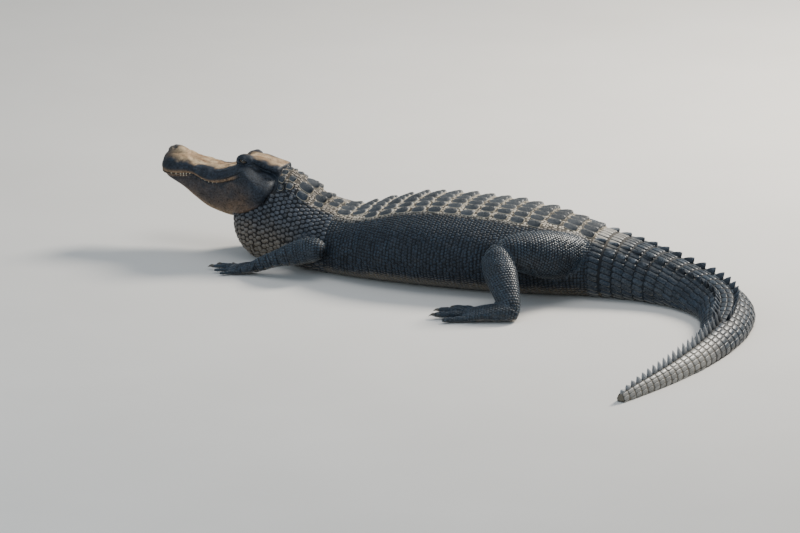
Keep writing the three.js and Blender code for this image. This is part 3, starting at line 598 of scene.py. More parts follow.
FORE_FLAT = (0.0, 0.0, 1.0)
HIND_FLAT = (1.0, 0.0, 0.0)
FLOOR_FLAT = (0.0, 1.0, 0.0)
LIMBS = (
    Limb("upper_arm_left", (
        (-398, -60, 70, 38, 40), (-390, -108, 70, 40, 42), (-372, -148, 72, 37, 38),
        (-352, -178, 76, 31, 33), (-345, -188, 78, 22, 24),
    ), FORE_FLAT),
    Limb("forearm_left", (
        (-311, -186, 84, 13, 12), (-319, -187, 85, 25, 25), (-341, -190, 84, 34, 34),
        (-385, -197, 73, 35, 33), (-434, -205, 57, 30, 27), (-480, -211, 37, 26, 20),
        (-514, -214, 21, 21, 13),
    ), FORE_FLAT),
    Limb("upper_arm_right", (
        (-392, 60, 104, 42, 42), (-380, 118, 98, 44, 44), (-366, 160, 86, 39, 39),
        (-350, 192, 74, 33, 33), (-344, 204, 70, 24, 24),
    ), FORE_FLAT),
    Limb("forearm_right", (
        (-326, 205, 72, 13, 12), (-333, 207, 73, 24, 24), (-350, 210, 70, 31, 31),
        (-388, 219, 60, 33, 31), (-430, 230, 47, 29, 27), (-466, 240, 32, 25, 19), (-494, 248, 20, 21, 13),
    ), FORE_FLAT),
    Limb("thigh_left", (
        (394, -60, 106, 48, 54), (368, -110, 116, 56, 64), (332, -162, 130, 56, 66),
        (288, -208, 143, 50, 58), (252, -240, 148, 42, 47), (226, -258, 148, 34, 34),
    ), HIND_FLAT),
    Limb("shank_left", (
        (202, -262, 160, 18, 16), (212, -264, 152, 33, 31), (227, -276, 136, 44, 38),
        (248, -303, 110, 47, 38), (270, -334, 84, 42, 34), (290, -362, 57, 36, 30),
        (304, -384, 34, 31, 25), (308, -392, 24, 27, 20),
    ), HIND_FLAT),
    Limb("thigh_right", (
        (402, 60, 92, 52, 60), (378, 110, 92, 58, 62), (340, 160, 90, 54, 56),
        (296, 204, 84, 46, 48), (262, 234, 80, 40, 42), (242, 248, 78, 32, 34),
    ), HIND_FLAT),
    Limb("shank_right", (
        (218, 252, 86, 18, 16), (226, 256, 84, 30, 28), (240, 270, 78, 38, 33), (262, 300, 66, 39, 33),
        (286, 332, 50, 35, 29), (306, 360, 34, 30, 24), (314, 372, 24, 26, 20),
    ), HIND_FLAT),
)


def refined(stations: Array, count: int) -> Array:
    """Gives more stations between the given ones, on a smooth curve."""
    rows = np.asarray(stations, float)
    stride = np.linalg.norm(np.diff(rows[:, :3], axis=0), axis=1)
    walked = np.concatenate([[0.0], np.cumsum(stride)])
    at = np.linspace(0, walked[-1], count)
    curves = [profile(*zip(walked, rows[:, k])) for k in range(3, 5)]
    slopes = np.gradient(rows[:, :3], walked, axis=0)
    i = np.clip(np.searchsorted(walked, at, side="right") - 1, 0, len(walked) - 2)
    span = (walked[i + 1] - walked[i])[:, None]
    t = ((at - walked[i]) / span[:, 0])[:, None]
    line = (
        rows[i, :3] * (1 - 3 * t ** 2 + 2 * t ** 3) + rows[i + 1, :3] * (3 * t ** 2 - 2 * t ** 3)
        + span * ((t ** 3 - 2 * t ** 2 + t) * slopes[i] + (t ** 3 - t ** 2) * slopes[i + 1])
    )
    return np.column_stack([line, curves[0](at), curves[1](at)])


def tube(stations: Array, flat: tuple[float, float, float], sides: int, grown: float = 0.0) -> Array:
    """Gives the rings of an oval tube.

    Args:
        stations: rows of x, y, z, half width and half thickness.
        flat: the direction that the half width lies along.
        sides: points in each ring.
        grown: how far the surface is moved out.

    Returns:
        An array of ring by point by coordinate.
    """
    line = stations[:, :3]
    along = unit(np.gradient(line, axis=0))
    across = np.array(flat) - along * (along @ np.array(flat))[:, None]
    across = unit(across)
    up = np.cross(along, across)
    angle = 2 * np.pi * (np.arange(sides) + 0.5) / sides
    wide = (stations[:, 3] + grown)[:, None, None] * np.cos(angle)[None, :, None]
    thick = (stations[:, 4] + grown)[:, None, None] * np.sin(angle)[None, :, None]
    rings = line[:, None] + across[:, None] * wide + up[:, None] * thick
    rings[..., 2] = np.maximum(rings[..., 2], 0.0)
    return rings


class Anatomy:
    """All the forms of the animal, and its place in the frame."""

    def __init__(self, box: Sequence[Sequence[float]]) -> None:
        """Finds the animal's place from the solid of its left eye.

        Args:
            box: the low and the high corner of the solids, in metres.
        """
        self.box = np.array([list(corner) for corner in box])
        self.body = BodyForm()
        self.head = HeadForm()
        low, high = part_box("eye_left")
        middle = np.array((low + high) / 2)
        self.shift = middle - self.head.out(HeadForm.EYE) * MM

    def to_frame(self, points: Array) -> Array:
        """Turns millimetres in the animal's frame into metres in the frame's coordinates."""
        return points * MM + self.shift

    def from_frame(self, points: Array) -> Array:
        """Turns metres in the frame's coordinates into millimetres in the animal's frame."""
        return (points - self.shift) / MM

    def inside(self, points: Array) -> Array:
        """Keeps places in the frame's coordinates inside the solids' box."""
        return np.clip(points, self.box[0] + 0.2 * MM, self.box[1] - 0.2 * MM)


def packed(values: Array, kind: type = np.float32) -> Array:
    """Flattens values for Blender's foreach_set."""
    return np.ascontiguousarray(values, kind).ravel()


def make_object(name: str, vertices: Array, faces: Array) -> bpy.types.Object:
    """Makes a smooth-shaded object and links it to the scene.

    Args:
        name: the piece's name.
        vertices: rows of x, y and z in metres.
        faces: rows of vertex numbers, all of one length.

    Returns:
        The object.
    """
    mesh = bpy.data.meshes.new(name)
    mesh.vertices.add(len(vertices))
    mesh.vertices.foreach_set("co", packed(vertices))
    mesh.loops.add(faces.size)
    mesh.loops.foreach_set("vertex_index", packed(faces, np.int32))
    mesh.polygons.add(len(faces))
    mesh.polygons.foreach_set("loop_start", np.arange(0, faces.size, faces.shape[1], dtype=np.int32))
    mesh.update(calc_edges=True)
    mesh.validate()
    mesh.polygons.foreach_set("use_smooth", np.full(len(mesh.polygons), True))
    piece = bpy.data.objects.new(name, mesh)
    bpy.context.scene.collection.objects.link(piece)
    return piece


def vertex_array(mesh: bpy.types.Mesh, what: str = "co") -> Array:
    """Reads the places or the normals of a mesh's vertices."""
    values = np.zeros(len(mesh.vertices) * 3, np.float32)
    if what == "co":
        mesh.vertices.foreach_get("co", values)
    else:
        mesh.vertex_normals.foreach_get("vector", values)
    return values.reshape(-1, 3).astype(float)


def corner_array(mesh: bpy.types.Mesh) -> Array:
    """Reads the vertex number of each corner of a mesh's faces."""
    corners = np.zeros(len(mesh.loops), np.int32)
    mesh.loops.foreach_get("vertex_index", corners)
    return corners


def set_attribute(mesh: bpy.types.Mesh, name: str, values: Array) -> None:
    """Gives a mesh a colour for each vertex, from rows of three values."""
    layer = mesh.attributes.new(name, "FLOAT_COLOR", "POINT")
    layer.data.foreach_set("color", packed(np.column_stack([values, np.ones(len(values))])))


@dataclass
class Hide:
    """The one skin over head, neck, trunk, tail, legs and feet.

    The voxel is the mesh size that its forms are joined at. In front of the neck the skin
    grows finer, up to fine times.
    """

    anatomy: Anatomy
    inset: float = 1.5
    voxel: float = 3.4
    fine: float = 2.3
    rear: float = -430.0
    front: float = -560.0
    piece: bpy.types.Object | None = None
    tree: BVHTree | None = None

    # The nape that fills the hollow behind the skull: rows of x, y, z, half width and half thickness
    NAPE = (
        (-560, 14, 205, 34, 30), (-530, 13, 208, 44, 42), (-505, 12, 202, 56, 49), (-480, 9, 190, 66, 50),
        (-455, 5, 178, 74, 46), (-430, 2, 168, 80, 40), (-400, 0, 155, 80, 30),
    )
    # Lumps on the head: share of its length, distance aside, height and three radii
    LUMPS = {
        "left brow": (0.28, 29.0, 83.0, (31.0, 21.5, 24.0)),
        "right brow": (0.28, -29.0, 79.0, (31.0, 21.5, 24.0)),
        "nostrils": (0.885, 0.0, 52.0, (35.0, 26.0, 16.5)),
        "bridge between the brows": (0.255, 0.0, 83.0, (27.0, 27.0, 15.5)),
    }
    # The skull table: share of the head's length, half width and height as a share of the length
    TABLE = ((-0.012, 40, 0.235), (0, 45, 0.25), (0.1, 43, 0.262), (0.2, 38, 0.275), (0.27, 30, 0.268))
    FLOOR_GAP = 0.3

    def build(self) -> None:
        """Joins the flesh forms into one closed skin and carves its details."""
        blank = Blank()
        for add_forms in (self._trunk, self._head, self._legs, self._feet):
            add_forms(blank)
        places, faces = self._joined(*blank.arrays())
        places = relaxed(places, faces, 5)
        places = relaxed(places, faces, 30, self._looseness(places))
        self.piece = make_object("hide", self.anatomy.to_frame(places), faces)
        self._carve(places)
        mesh = self.piece.data
        corners = [tuple(face.vertices) for face in mesh.polygons]
        self.tree = BVHTree.FromPolygons([vertex.co for vertex in mesh.vertices], corners)
        LOG.info("hide: %d faces", len(mesh.polygons))

    def _looseness(self, places: Array) -> Array:
        """How far each place is smoothed: throat, nape, skull table and the bridge of the brows."""
        x, local = places[:, 0], self.anatomy.head.into(places)
        forward, aside, high = local[:, 0], np.abs(local[:, 1]), local[:, 2]
        throat = between(-655, -630, -500, -440, x) * smooth_step(40, 10, high)
        nape = smooth_step(-4, -12, forward) * smooth_step(-380, -430, x)
        table = smooth_step(60, 70, high) * between(-24, -10, 72, 92, forward)
        bridge = between(70, 84, 124, 140, forward) * smooth_step(36, 27, aside) * smooth_step(50, 62, high)
        return np.maximum.reduce([throat, nape, 0.22 * table, 0.9 * bridge])

    def _trunk(self, blank: Blank) -> None:
        """Adds neck, trunk and tail as one long body, with closer rings at its ends."""
        body = self.anatomy.body
        tip = body.spine.tip
        along = np.concatenate([
            np.arange(Spine.FRONT + 4, BodyForm.NECK_REAR, 6.0),
            np.arange(BodyForm.NECK_REAR, tip - 6, 8.0),
            [tip - 4, tip - 2],
        ])
        angle = 2 * np.pi * (np.arange(72) + 0.5) / 72
        grid = np.repeat(along[:, None], len(angle), 1)
        blank.loft(body.points(grid, np.repeat(angle[None], len(along), 0), -self.inset))

    def _head(self, blank: Blank) -> None:
        """Adds upper head and lower jaw, which overlap inside, then lumps, skull table and nape."""
        head = self.anatomy.head
        share = np.concatenate([np.linspace(HeadForm.REAR, 0.9, 70), np.linspace(0.905, 0.998, 16)])
        angle = np.linspace(0, np.pi, 49)
        overlap = 4.0
        for upper in (True, False):
            rings = head.arch(
                np.repeat(share[:, None], len(angle), 1), np.repeat(angle[None], len(share), 0), upper,
            )
            close = rings[:, ::-1][:, 1:-1].copy()
            base = rings[:, :1, 2:3]
            close[..., 2] = (base - overlap if upper else base + overlap)[..., 0]
            close[..., 1] *= 0.96
            blank.loft(head.out(np.concatenate([rings, close], 1)))
        for forward, aside, height, radii in self.LUMPS.values():
            blank.ellipsoid(np.array([forward * HEAD_LENGTH, aside, height]), radii, head.out)
        self._table(blank)
        blank.loft(tube(refined(self.NAPE, 20), FLOOR_FLAT, 32))

    def _table(self, blank: Blank) -> None:
        """Adds the flat plate on top of the skull, with its ear flaps."""
        shares = np.linspace(-0.01, 0.268, 24)
        half = profile(*((row[0], row[1]) for row in self.TABLE))(shares) - 1
        peak = profile(*((row[0], row[2]) for row in self.TABLE))(shares)
        angle = circle(40)
        across = half[:, None] * signed_power(np.cos(angle), 0.5)
        height = HEAD_LENGTH * ((peak - 0.035)[:, None] + 0.033 * signed_power(np.sin(angle), 0.75))
        along = HEAD_LENGTH * shares[:, None] + 0 * angle
        blank.loft(self.anatomy.head.out(np.stack([along, across, height], -1)))

    def _legs(self, blank: Blank) -> None:
        """Adds the upper and lower legs."""
        for limb in LIMBS:
            blank.loft(tube(refined(limb.stations, 26), limb.flat, 32, -1.0))

    def _feet(self, blank: Blank) -> None:
        """Adds palms, toes with their knuckles and the webs between the hind toes."""
        for foot in FEET:
            blank.loft(foot.place(tube(refined(foot.palm, 22), FLOOR_FLAT, 28, -1.0)))
            for toe in foot.toes:
                shares = np.concatenate([np.linspace(-0.25, 0.97, 22), [0.99, 1.0]])
                stations = toe.stations(shares)
                knuckle = 1 + 0.07 * np.cos(2 * np.pi * shares * 2.6)
                stations[:, 3:] *= (knuckle * np.where(shares > 0.975, 0.72, 1.0))[:, None]
                blank.loft(foot.place(tube(stations, FLOOR_FLAT, 16, -0.4)))
            if foot.webbed:
                self._webs(blank, foot)

    def _webs(self, blank: Blank, foot: Foot) -> None:
        """Adds the thin skin between the toes of a hind foot, hollow at its edge."""
        across = np.linspace(0, 1, 9)
        for pair in zip(foot.toes[:-1], foot.toes[1:]):
            rings = []
            for share in np.linspace(0.0, 0.62, 9):
                ends = np.stack([toe.stations(np.array([share]))[0, :2] for toe in pair])
                line = ends[0] + (ends[1] - ends[0]) * across[:, None]
                line = line - (14 * share * np.sin(np.pi * across))[:, None] * np.array([1.0, 0.0])
                top = np.column_stack([line, np.full(9, 7.5 * (1.0 - 0.35 * share))])
                low = np.column_stack([line, np.full(9, 1.5)])[::-1]
                rings.append(np.vstack([top, low]))
            blank.loft(foot.place(np.array(rings)))

    def _stretch(self, x: Array) -> Array:
        """How many times finer the skin is at a place."""
        return 1 + (self.fine - 1) * smooth_step(self.rear, self.front, x)

    def _joined(self, places: Array, faces: Array) -> tuple[Array, Array]:
        """Joins overlapping closed forms into one surface, finer at the head.

        Args:
            places: the vertices of the forms, in millimetres.
            faces: their triangles.

        Returns:
            The vertices and the four-sided faces of the joined surface.
        """
        line = np.linspace(-1000, 1400, 4801)
        stretch = self._stretch(line)
        stretched = np.concatenate([[0.0], np.cumsum((stretch[1:] + stretch[:-1]) / 2 * np.diff(line))])
        grown = places * self._stretch(places[:, 0])[:, None]
        grown[:, 0] = np.interp(places[:, 0], line, stretched)
        rough = make_object("flesh", grown * MM, faces)
        change = rough.modifiers.new("join", "REMESH")
        change.mode = "VOXEL"
        change.voxel_size = self.voxel * MM
        graph = bpy.context.evaluated_depsgraph_get()
        mesh = bpy.data.meshes.new_from_object(rough.evaluated_get(graph))
        joined = vertex_array(mesh) / MM
        corners = corner_array(mesh)
        bpy.data.objects.remove(rough, do_unlink=True)
        bpy.data.meshes.remove(mesh)
        x = np.interp(joined[:, 0], stretched, line)
        joined[:, 1:] /= self._stretch(x)[:, None]
        joined[:, 0] = x
        return joined, corners.reshape(-1, 4)

    def _carve(self, places: Array) -> None:
        """Moves the skin in and out for mouth, eyes, ears, nostrils, folds and scales."""
        mesh = self.piece.data
        normals = vertex_array(mesh, "normal")
        relief = Relief(self.anatomy)
        carved = relief.carved(places, normals)
        carved[:, 2] = np.maximum(carved[:, 2], self.FLOOR_GAP)
        mesh.vertices.foreach_set("co", packed(self.anatomy.inside(self.anatomy.to_frame(carved))))
        mesh.update()
        set_attribute(mesh, "Tint", Markings(self.anatomy).tint(places, normals))
        set_attribute(mesh, "GrainShadeAndHighlight", relief.grain_and_shade)

    def dress(self, body: bpy.types.Material, head: bpy.types.Material) -> None:
        """Gives the skin its finishes and puts it in place of the flesh nodes."""
        finish_piece(self.piece, body)
        mesh = self.piece.data
        mesh.materials.append(head)
        local = self.anatomy.head.into(self.anatomy.from_frame(vertex_array(mesh)))
        front = Relief.behind_jaw(local) < 2.0
        on_head = front[corner_array(mesh).reshape(-1, 4)].all(1)
        mesh.polygons.foreach_set("material_index", on_head.astype(np.int32))
        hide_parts(*LONG_SKIN_NODES)


def relaxed(places: Array, faces: Array, rounds: int, weight: Array | None = None) -> Array:
    """Smooths a closed surface without shrinking it much.

    Args:
        places: the vertices.
        faces: four-sided faces.
        rounds: how many times each vertex moves towards its neighbours and back.
        weight: how much of the move each vertex makes; where it is given, nothing moves back.

    Returns:
        The smoothed vertices.
    """
    ends = np.concatenate([faces[:, [0, 1]], faces[:, [1, 2]], faces[:, [2, 3]], faces[:, [3, 0]]])
    share = 1.0 / np.maximum(np.bincount(ends[:, 0], minlength=len(places)), 1)
    for turn in range(rounds * 2):
        pull = (0.55 if turn % 2 == 0 else -0.57) if weight is None else 0.6 * weight[:, None]
        moved = np.empty_like(places)
        for axis in range(3):
            total = np.bincount(ends[:, 0], places[ends[:, 1], axis], len(places))
            moved[:, axis] = total * share
        places = places + pull * (moved - places)
    return places


def finish_piece(piece: bpy.types.Object, material: bpy.types.Material) -> None:
    """Gives a piece its material and its body."""
    piece.data.materials.clear()
    piece.data.materials.append(material)
    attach(piece, "root")


class Relief:
    """The hollows, folds and scales that are carved into the skin."""

    FOLD = staticmethod(profile((-75, 130), (-38, 59), (-27, 40), (2, 6), (44, -7), (80, -7)))
    EAR = (0.13 * HEAD_LENGTH, 46.0, 75.0)
    NOSTRIL = (0.915 * HEAD_LENGTH, 12.0, 68.0)
    NOSTRIL_SIZE = (7.5, 5.0, 6.0)
    NECK_FOLD = 31.0
    FLANK_WRINKLE = 15.0

    def __init__(self, anatomy: Anatomy) -> None:
        """Keeps the forms that the details are placed on."""
        self.anatomy = anatomy
        self.grain_and_shade = np.zeros((0, 3))
        # Painted shade: how dark the colour marks make the mouth line, creases, slits, nostrils and eye
        # openings
        self.hollow = np.zeros(0)

    @classmethod
    def behind_jaw(cls, local: Array) -> Array:
        """How far behind the fold at the jaw's rear edge places in the head's frame are."""
        return cls.FOLD(local[:, 2]) - local[:, 0]

    def carved(self, places: Array, normals: Array) -> Array:
        """Gives the skin's places with every detail, and keeps each scale's crown, lowered by painted shade
        in the hollows, and number.

        Args:
            places: the plain skin's vertices in the animal's frame.
            normals: their outward directions.

        Returns:
            The new places.
        """
        head = self.anatomy.head
        local = head.into(places)
        share = local[:, 0] / HEAD_LENGTH
        up = head.turn(normals)[:, 2]
        behind = self.behind_jaw(local)
        on_head = smooth_step(5, -3, behind)
        self.hollow = np.zeros(len(places))
        edge, owner = self._scales(places, local, up, on_head)
        lift = on_head * (0.45 + 0.4 * smooth_step(0.2, -0.2, up)) * (edge - 0.75)
        lift += on_head * self._mouth(local, share)
        lift += on_head * self._snout(local, share, up)
        lift += self._jaw_fold(local, behind)
        lift += (1 - on_head) * self._folds(places, normals)
        moved = places + normals * lift[:, None]
        moved = self._eyes(moved, local)
        # Painted shade: the crown mark drops in the hollows, so the finish paints its dark joint colour there
        self.grain_and_shade = np.column_stack([edge * (1 - self.hollow), owner, 0.5 * edge])
        return moved

    def _scales(self, places: Array, local: Array, up: Array, on_head: Array) -> tuple[Array, Array]:
        """The crown and the number of the small scales, coarser on top of the head."""
        edge, owner = 0.35 - 0.3 * smooth_step(25, 60, places[:, 2]), np.full(len(places), 0.5)
        coarse = smooth_step(0.2, 0.5, up) * smooth_step(-60, -40, -np.abs(local[:, 1]))
        fine = (on_head > 0) & (coarse < 0.5)
        large = (on_head > 0) & (coarse >= 0.5)
        for size, chosen, least, width in ((5.2, fine, 0.0, 0.22), (9.4, large, 0.26, 0.17)):
            stretched = local[chosen] * (0.8, 1.0, 1.1)
            near, second, number = cells(stretched, size, 3)
            edge[chosen] = least + (1 - least) * smooth_step(0.0, width, second - near)
            owner[chosen] = number
        return edge, owner

    def _mouth(self, local: Array, share: Array) -> Array:
        """The line of the mouth, the bulges of the lips and the crease above the mouth's corner."""
        head = self.anatomy.head
        off = local[:, 2] - HEAD_LENGTH * head.mouth(share)
        outer = smooth_step(0.6, 0.8, np.abs(local[:, 1]) / (HEAD_LENGTH * head.lip(share)))
        there = outer * smooth_step(0.18, 0.25, share)
        line = hump(off, -0.5, 2.2)
        lips = 2.0 * hump(off, 11, 5.5) + 1.2 * hump(off, -7, 4.0)
        crease = hump(off, 11.5, 2.0) * between(0.2, 0.26, 0.36, 0.46, share)
        # Painted shade along the mouth line and in the crease above the mouth's corner
        self.hollow = np.maximum.reduce([self.hollow, there * line, 0.9 * outer * crease])
        return there * (lips - 3.6 * line) - 3.4 * outer * crease

    def _jaw_fold(self, local: Array, behind: Array) -> Array:
        """The swell of the jaw's muscle and the crease behind it."""
        outer = smooth_step(50, 75, np.abs(local[:, 1])) * between(-74, -50, 55, 75, local[:, 2])
        crease = hump(behind, 2.5, 4.0)
        swell = between(-60, -16, -12, 0, behind)
        # Painted shade in the crease behind the jaw muscle
        self.hollow = np.maximum(self.hollow, 0.9 * outer * crease)
        return outer * (3.5 * swell - 4.5 * crease)

    def _snout(self, local: Array, share: Array, up: Array) -> Array:
        """The uneven bone under the skin of the snout, the ear slits and the nostrils."""
        bumps = soft_noise(local, 17.0, 11) * 2.0 + soft_noise(local, 8.0, 12) * 0.9
        lift = smooth_step(0.3, 0.8, up) * smooth_step(0.3, 0.42, share) * bumps
        sides = smooth_step(0.5, 0.1, np.abs(up)) * smooth_step(0.3, 0.45, share)
        lift += 0.7 * sides * soft_noise(local, 11.0, 13)
        for side in SIDES:
            slit = blob(local, (self.EAR[0], self.EAR[1] * side, self.EAR[2]), (44.0, 12.0, 3.2))
            nostril = (self.NOSTRIL[0], self.NOSTRIL[1] * side, self.NOSTRIL[2])
            hole = blob(local, nostril, self.NOSTRIL_SIZE, 1.3)
            away = np.sqrt((((local - nostril) / self.NOSTRIL_SIZE) ** 2).sum(1))
            lift += 1.5 * hump(away, 1.5, 0.4) - 4.5 * hole - 5.0 * slit
            bag = blob(local, (HeadForm.EYE[0] - 2, 47.0 * side, HeadForm.EYE[2] - 9), (22.0, 14.0, 3.0))
            lift -= 1.6 * bag
            # Painted shade in the ear slits, the nostril holes and the hollows under the eyes
            self.hollow = np.maximum.reduce([self.hollow, slit, hole, 0.6 * bag])
        return lift

    def _folds(self, places: Array, normals: Array) -> Array:
        """The loose folds of the neck and the fine upright wrinkles of the flanks."""
        waver = 12 * soft_noise(places, 60.0, 31) + 5 * soft_noise(places, 22.0, 32)
        x, z = places[:, 0], places[:, 2]
        side = smooth_step(0.9, 0.55, np.abs(normals[:, 2]))
        oblique = np.sin((x + 0.35 * z + waver) * 2 * np.pi / self.NECK_FOLD)
        lift = between(-610, -560, -380, -320, x) * side * 1.8 * signed_power(oblique, 0.7)
        flank = between(-330, -240, 380, 460, x) * (np.abs(places[:, 1]) < 250)
        upright = np.sin((x + 0.12 * z + waver) * 2 * np.pi / self.FLANK_WRINKLE)
        broad = soft_noise(places * (1.0, 1.0, 0.45), 46.0, 33)
        return lift + flank * side * (0.8 * upright + 2.2 * broad)

    def _eyes(self, moved: Array, local: Array) -> Array:
        """Drapes the skin over the eyeballs and opens the lids by pushing it behind them."""
        head = self.anatomy.head
        radius, depth = HeadForm.EYE_RADIUS, HeadForm.EYE[1]
        result = head.into(moved)
        for side in SIDES:
            across = ((result[:, [0, 2]] - HeadForm.EYE[[0, 2]]) ** 2).sum(1)
            outward = result[:, 1] * side
            lid = depth + np.sqrt(np.maximum((radius + 1.5) ** 2 - across, 0))
            covered = (across < (radius + 1.0) ** 2) & (outward > depth - 6)
            result[:, 1] = np.where(covered, side * np.maximum(outward, lid), result[:, 1])
            target = side * (depth + np.sqrt(np.maximum((radius - 2.5) ** 2 - across, 0)) - 1.5)
            push = np.where(np.abs(local[:, 1] * side - 45) < 30, EyeShape(side).inside(local), 0.0)
            # Painted shade inside the lid opening, round the eyeball
            self.hollow = np.maximum(self.hollow, push)
            in_front = np.abs(result[:, 1]) > np.abs(target)
            result[:, 1] = np.where(in_front, result[:, 1] * (1 - push) + target * push, result[:, 1])
        return head.out(result)


@dataclass(frozen=True)
class EyeShape:
    """The almond between the lids of one eye, seen from the side."""

    side: float
    half_length: float = 13.0
    upper: float = 5.8
    lower: float = 4.4
    tilt: float = 0.14
    raised: float = 1.0

    @staticmethod
    def _turned(x: Array, z: Array, angle: float) -> tuple[Array, Array]:
        """Turns places in the side view by an angle."""
        return x * math.cos(angle) - z * math.sin(angle), x * math.sin(angle) + z * math.cos(angle)

    def edge(self, turn: Array) -> Array:
        """Gives places on the lids' edge, a little above the ball, for angles round it."""
        u, v = np.cos(turn), np.sin(turn)
        x = self.half_length * u
        z = np.where(v > 0, self.upper, self.lower) * v * (0.62 + 0.38 * np.abs(v))
        x, z = self._turned(x, z, self.tilt)
        radius = HeadForm.EYE_RADIUS + 0.6
        depth = np.sqrt(np.maximum(radius ** 2 - x ** 2 - z ** 2, 2.0))
        middle = HeadForm.EYE
        return np.stack([middle[0] + x, self.side * (middle[1] + depth), middle[2] + self.raised + z], -1)

    def inside(self, local: Array) -> Array:
        """Says how far inside the almond each place is, from 0 to 1."""
        x = local[:, 0] - HeadForm.EYE[0]
        z = local[:, 2] - HeadForm.EYE[2] - self.raised
        x, z = self._turned(x, z, -self.tilt)
        across = np.sqrt(1 - np.clip(np.abs(x) / self.half_length, 0, 1) ** 2)
        reach = np.where(z > 0, self.upper, self.lower) * across * (0.62 + 0.38 * across)
        return smooth_step(1.6, -0.4, np.abs(z) - reach) * (np.abs(x) < self.half_length + 1)


class Markings:
    """The colours of the animal, the same on the skin and on every scale that lies on it."""

    # Half width of the light top of the snout, as a share of the lip's: partly dry skin, partly painted
    # sunlight
    SUNLIT_TOP_HALF = staticmethod(profile((0.3, 0.34), (0.5, 0.42), (0.62, 0.56), (0.74, 0.74), (1, 0.78)))

    def __init__(self, anatomy: Anatomy) -> None:
        """Keeps the forms that the colours follow."""
        self.anatomy = anatomy

    def tint(self, places: Array, normals: Array) -> Array:
        """Gives the share of tan, of cream and of mottling at each place.

        Args:
            places: places in the animal's frame.
            normals: outward directions there.

        Returns:
            Rows of three shares from 0 to 1.
        """
        head = self.anatomy.head
        local = head.into(places)
        patch = soft_noise(places, 34.0, 41) * 0.6 + soft_noise(places, 13.0, 42) * 0.4
        on_head = smooth_step(6, -4, Relief.behind_jaw(local))
        tan, cream = self._head_tint(local, head.turn(normals)[:, 2], patch)
        body_tan, body_cream = self._body_tint(places, normals, patch)
        return np.clip(np.column_stack([
            on_head * tan + (1 - on_head) * body_tan,
            on_head * cream + (1 - on_head) * body_cream,
            0.5 + 0.5 * patch,
        ]), 0, 1)

    def _body_tint(self, places: Array, normals: Array, patch: Array) -> tuple[Array, Array]:
        """The tan and cream of back, neck, belly and tail, with painted sunlight on the back and on the far
        end of the tail.
        """
        x, y, z = places.T
        up = normals[:, 2]
        below = smooth_step(-0.45, -0.85, up + 0.12 * patch) * smooth_step(90, 25, z)
        edge = 104 - 34 * smooth_step(250, 420, x) - 34 * smooth_step(-220, -330, x)
        edge -= 26 * smooth_step(-400, -460, x) + 14 * smooth_step(-470, -500, x)
        # The light band along the top of the back: partly dry skin, partly painted sunlight on the upward
        # faces
        back = smooth_step(edge + 8, edge - 8, np.abs(y) + 8 * patch) * between(-640, -560, 440, 560, x)
        back *= smooth_step(0.3, 0.6, up)
        throat = between(-660, -600, -470, -380, x) * smooth_step(150, 60, z + 25 * patch)
        throat *= smooth_step(170, 140, np.abs(y))
        hip = smooth_step(50, 15, z) * between(-300, -200, 400, 500, x) * (np.abs(y) < 240)
        # Painted sunlight on the far, curled end of the tail
        painted_sunlight_tail = smooth_step(-430, -640, y + 60 * patch)
        tan = 0.5 * back + 0.5 * throat + 0.3 * below + 0.12 * hip + 0.07 * smooth_step(0.2, 0.8, patch)
        cream = 0.55 * back * (0.9 + 0.5 * patch) + 0.1 * throat + 0.5 * below + 0.4 * painted_sunlight_tail
        return tan, cream

    def _head_tint(self, local: Array, up: Array, patch: Array) -> tuple[Array, Array]:
        """The tan and cream of the head: its light top, lips, gum, jaw and throat."""
        head = self.anatomy.head
        share = local[:, 0] / HEAD_LENGTH
        off = local[:, 2] - HEAD_LENGTH * head.mouth(share)
        aside = np.abs(local[:, 1]) / (HEAD_LENGTH * head.lip(share))
        # The light top: partly dry skin, partly painted sunlight
        crown = self._dry_and_sunlit_top(local, share, aside, up) * (0.92 + 0.3 * patch)
        front = smooth_step(0.66, 0.8, share)
        corner = smooth_step(0.58, 0.42, share)
        lip = hump(off, 3.5 + 1.2 * corner, 3.2 + 3.0 * front + 1.8 * corner)
        lip *= smooth_step(0.24, 0.32, share) * smooth_step(0.5, 0.7, aside)
        gum = hump(off, -6, 5) * front
        chin = smooth_step(-0.35, -0.8, up + 0.15 * patch) * smooth_step(-25, -60, off)
        jaw = smooth_step(0, -8 - 55 * smooth_step(0.32, 0.18, share), off)
        jaw *= 0.08 + 0.16 * patch + 0.3 * smooth_step(-35, -95, off)
        # Uneven flecks of brighter cream on the light top, part of its painted sunlight
        bright = soft_noise(local * (0.6, 1.0, 1.0), 15.0, 44)
        tan = np.maximum.reduce([crown * 0.85, lip * (0.62 + 0.2 * patch), 0.45 * gum, 0.6 * chin, jaw])
        cream = np.maximum.reduce([crown * (0.42 + 0.3 * patch + 0.45 * bright), 0.15 * chin, 0.06 * lip])
        return tan, cream

    def _dry_and_sunlit_top(self, local: Array, share: Array, aside: Array, up: Array) -> Array:
        """The light top of snout and skull table, partly dry skin and partly painted sunlight, with painted
        shade at the brows and left dark at nose and nostril rims.
        """
        uneven = 0.6 * soft_noise(local, 24.0, 45) + 0.4 * soft_noise(local, 9.0, 46)
        middle = self.SUNLIT_TOP_HALF(share)
        snout = smooth_step(middle + 0.16, middle - 0.16, aside + 0.17 * uneven)
        snout *= smooth_step(0.3, 0.38, share)
        # A light streak along the skull table's top: painted sunlight, partly dry skin
        table = smooth_step(78, 88, local[:, 2]) * smooth_step(0.6, 0.85, up) * smooth_step(0.34, 0.28, share)
        table *= smooth_step(40, 14, np.abs(local[:, 1]) + 14 * uneven)
